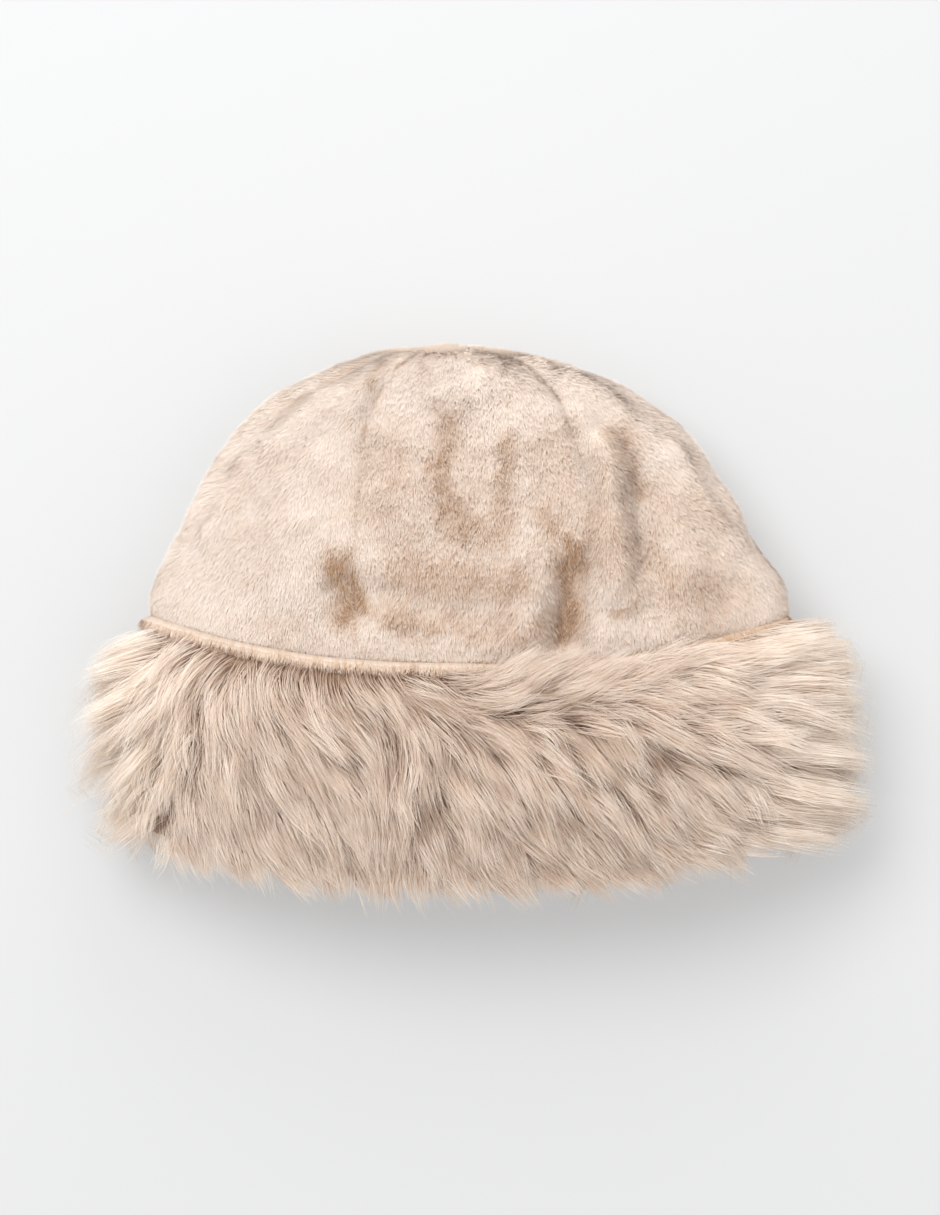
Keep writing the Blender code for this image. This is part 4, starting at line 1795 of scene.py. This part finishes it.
@dataclass
class Studio:
    """The pale surface, the soft light and the camera straight above.

    Attributes:
        pixel: size of one of the photo's pixels on the hat, in metres.
        photo_width: the photo's width in pixels.
        aim: the frame's point under the photo's middle.
        middle_height: the hat's middle height.
        distance: from the camera to the hat's middle height.
        sensor: width of the camera's sensor in millimetres.
        floor_half: half the width of the pale surface.
        daylight: strength of the even light from all round.
    """

    pixel: float = 0.000422
    photo_width: float = 940.0
    aim: tuple[float, float] = (-0.001, 0.0063)
    middle_height: float = 0.045
    distance: float = 1.9
    sensor: float = 36.0
    floor_half: float = 4.0
    daylight: float = 0.79

    def build(self) -> None:
        """Sets up the floor, the lights, the world and the camera."""
        self.floor()
        for row in LIGHTS:
            self.light(row)
        world = bpy.data.worlds.new("studio")
        world.use_nodes = True
        background = world.node_tree.nodes["Background"]
        background.inputs["Color"].default_value = (1.0, 1.0, 1.0, 1.0)
        background.inputs["Strength"].default_value = self.daylight
        bpy.context.scene.world = world
        self.camera()
        bpy.context.scene.view_settings.view_transform = "Standard"

    def floor(self) -> None:
        """Lays the pale surface."""
        half, height = self.floor_half, -0.0002
        corners = np.array([[x * half, y * half, height] for x, y in ((-1, -1), (1, -1), (1, 1), (-1, 1))])
        floor = add_mesh("floor", corners, [(0, 1, 2, 3)])
        floor.data.materials.append(PAPER.material())

    def light(self, row: Light) -> None:
        """Hangs one large soft light that faces the hat.

        Args:
            row: the light's name, place, size and power.
        """
        data = bpy.data.lights.new(row.name, "AREA")
        data.shape = "DISK"
        data.size = row.size
        data.energy = row.power
        lamp = bpy.data.objects.new(row.name, data)
        lamp.location = row.place
        lamp.rotation_euler = (-Vector(row.place)).to_track_quat("-Z", "Y").to_euler()
        bpy.context.collection.objects.link(lamp)

    def camera(self) -> None:
        """Puts the camera straight above, at the photo's scale."""
        data = bpy.data.cameras.new("camera")
        data.sensor_fit = "HORIZONTAL"
        data.sensor_width = self.sensor
        data.lens = self.sensor * self.distance / (self.photo_width * self.pixel)
        data.clip_end = 20.0
        camera = bpy.data.objects.new("camera", data)
        camera.location = (*self.aim, self.middle_height + self.distance)
        bpy.context.collection.objects.link(camera)
        bpy.context.scene.camera = camera


PLUSH = FibreFinish(
    "plush_pile", root=(0.56, 0.43, 0.33), tip=(0.92, 0.857, 0.80), warm=(0.80, 0.66, 0.54),
    opened_and_shade=(0.58, 0.365, 0.20), roughness=0.75, sheen=0.25, patch=0.012, thin=0.25, mottle=0.45,
)
FUR = FibreFinish(
    "long_fur", root=(0.50, 0.33, 0.22), tip=(1.00, 0.93, 0.85), warm=(0.58, 0.40, 0.27),
    opened_and_shade=(0.36, 0.20, 0.11), roughness=0.6, sheen=0.1, patch=0.010, thin=0.40, mottle=0.70,
)
KNIT = KnitFinish(
    "knit_back", colour=(0.62, 0.52, 0.43), shadow=(0.48, 0.39, 0.31), stitch=0.0012, roughness=0.9,
)
PAPER = PaperFinish("white_paper", colour=(0.380, 0.384, 0.386), glow=0.285)


def gores() -> list[Gore]:
    """Lists the gores.

    Returns:
        The six of them, going round from the middle of the upper side to the right.
    """
    left, right = Side.LEFT, Side.RIGHT
    front_left, front_right = ("front_left", left), ("front_right", right)
    side_left, side_right = ("side_left", left), ("side_right", right)
    back_left, back_right = ("back", left), ("back", right)
    return [
        Gore("plush_front", "panel_front", front_left, front_right, 8.5e6, 101, curl=1.0),
        Gore("plush_front_right", "panel_front_right", front_right, side_right, 8.0e6, 102, curl=0.8),
        Gore("plush_back_right", "panel_back_right", side_right, back_right, 8.0e6, 103),
        Gore("plush_back", "panel_back", back_right, back_left, 7.0e6, 104, tip_reach=0.4),
        Gore("plush_back_left", "panel_back_left", back_left, side_left, 8.0e6, 105),
        Gore("plush_front_left", "panel_front_left", side_left, front_left, 8.0e6, 106, curl=0.35),
    ]


def report(piece: bpy.types.Object) -> int:
    """Logs how many triangles a piece has.

    Args:
        piece: the finished piece.

    Returns:
        Their number.
    """
    triangles = int(np.sum(read_values(piece.data.polygons, "loop_total") - 2))
    LOG.info("%s: %d triangles", piece.name, triangles)
    return triangles


def main() -> None:
    """Builds and dresses the hat, piece by piece."""
    logging.basicConfig(level=logging.INFO, format="%(message)s")
    form = HatForm()
    ring = Ring(form)
    plush, fur, knit = PLUSH.material(), FUR.material(), KNIT.material()
    pieces = [gore.build(form, plush, knit) for gore in gores()]
    pieces.append(Welt().build(form, ring, plush))
    pieces += FurCuff().build(form, ring, fur, knit)
    LOG.info("hat: %d triangles in all", sum(report(piece) for piece in pieces))
    Studio().build()


if __name__ == "__main__":
    main()
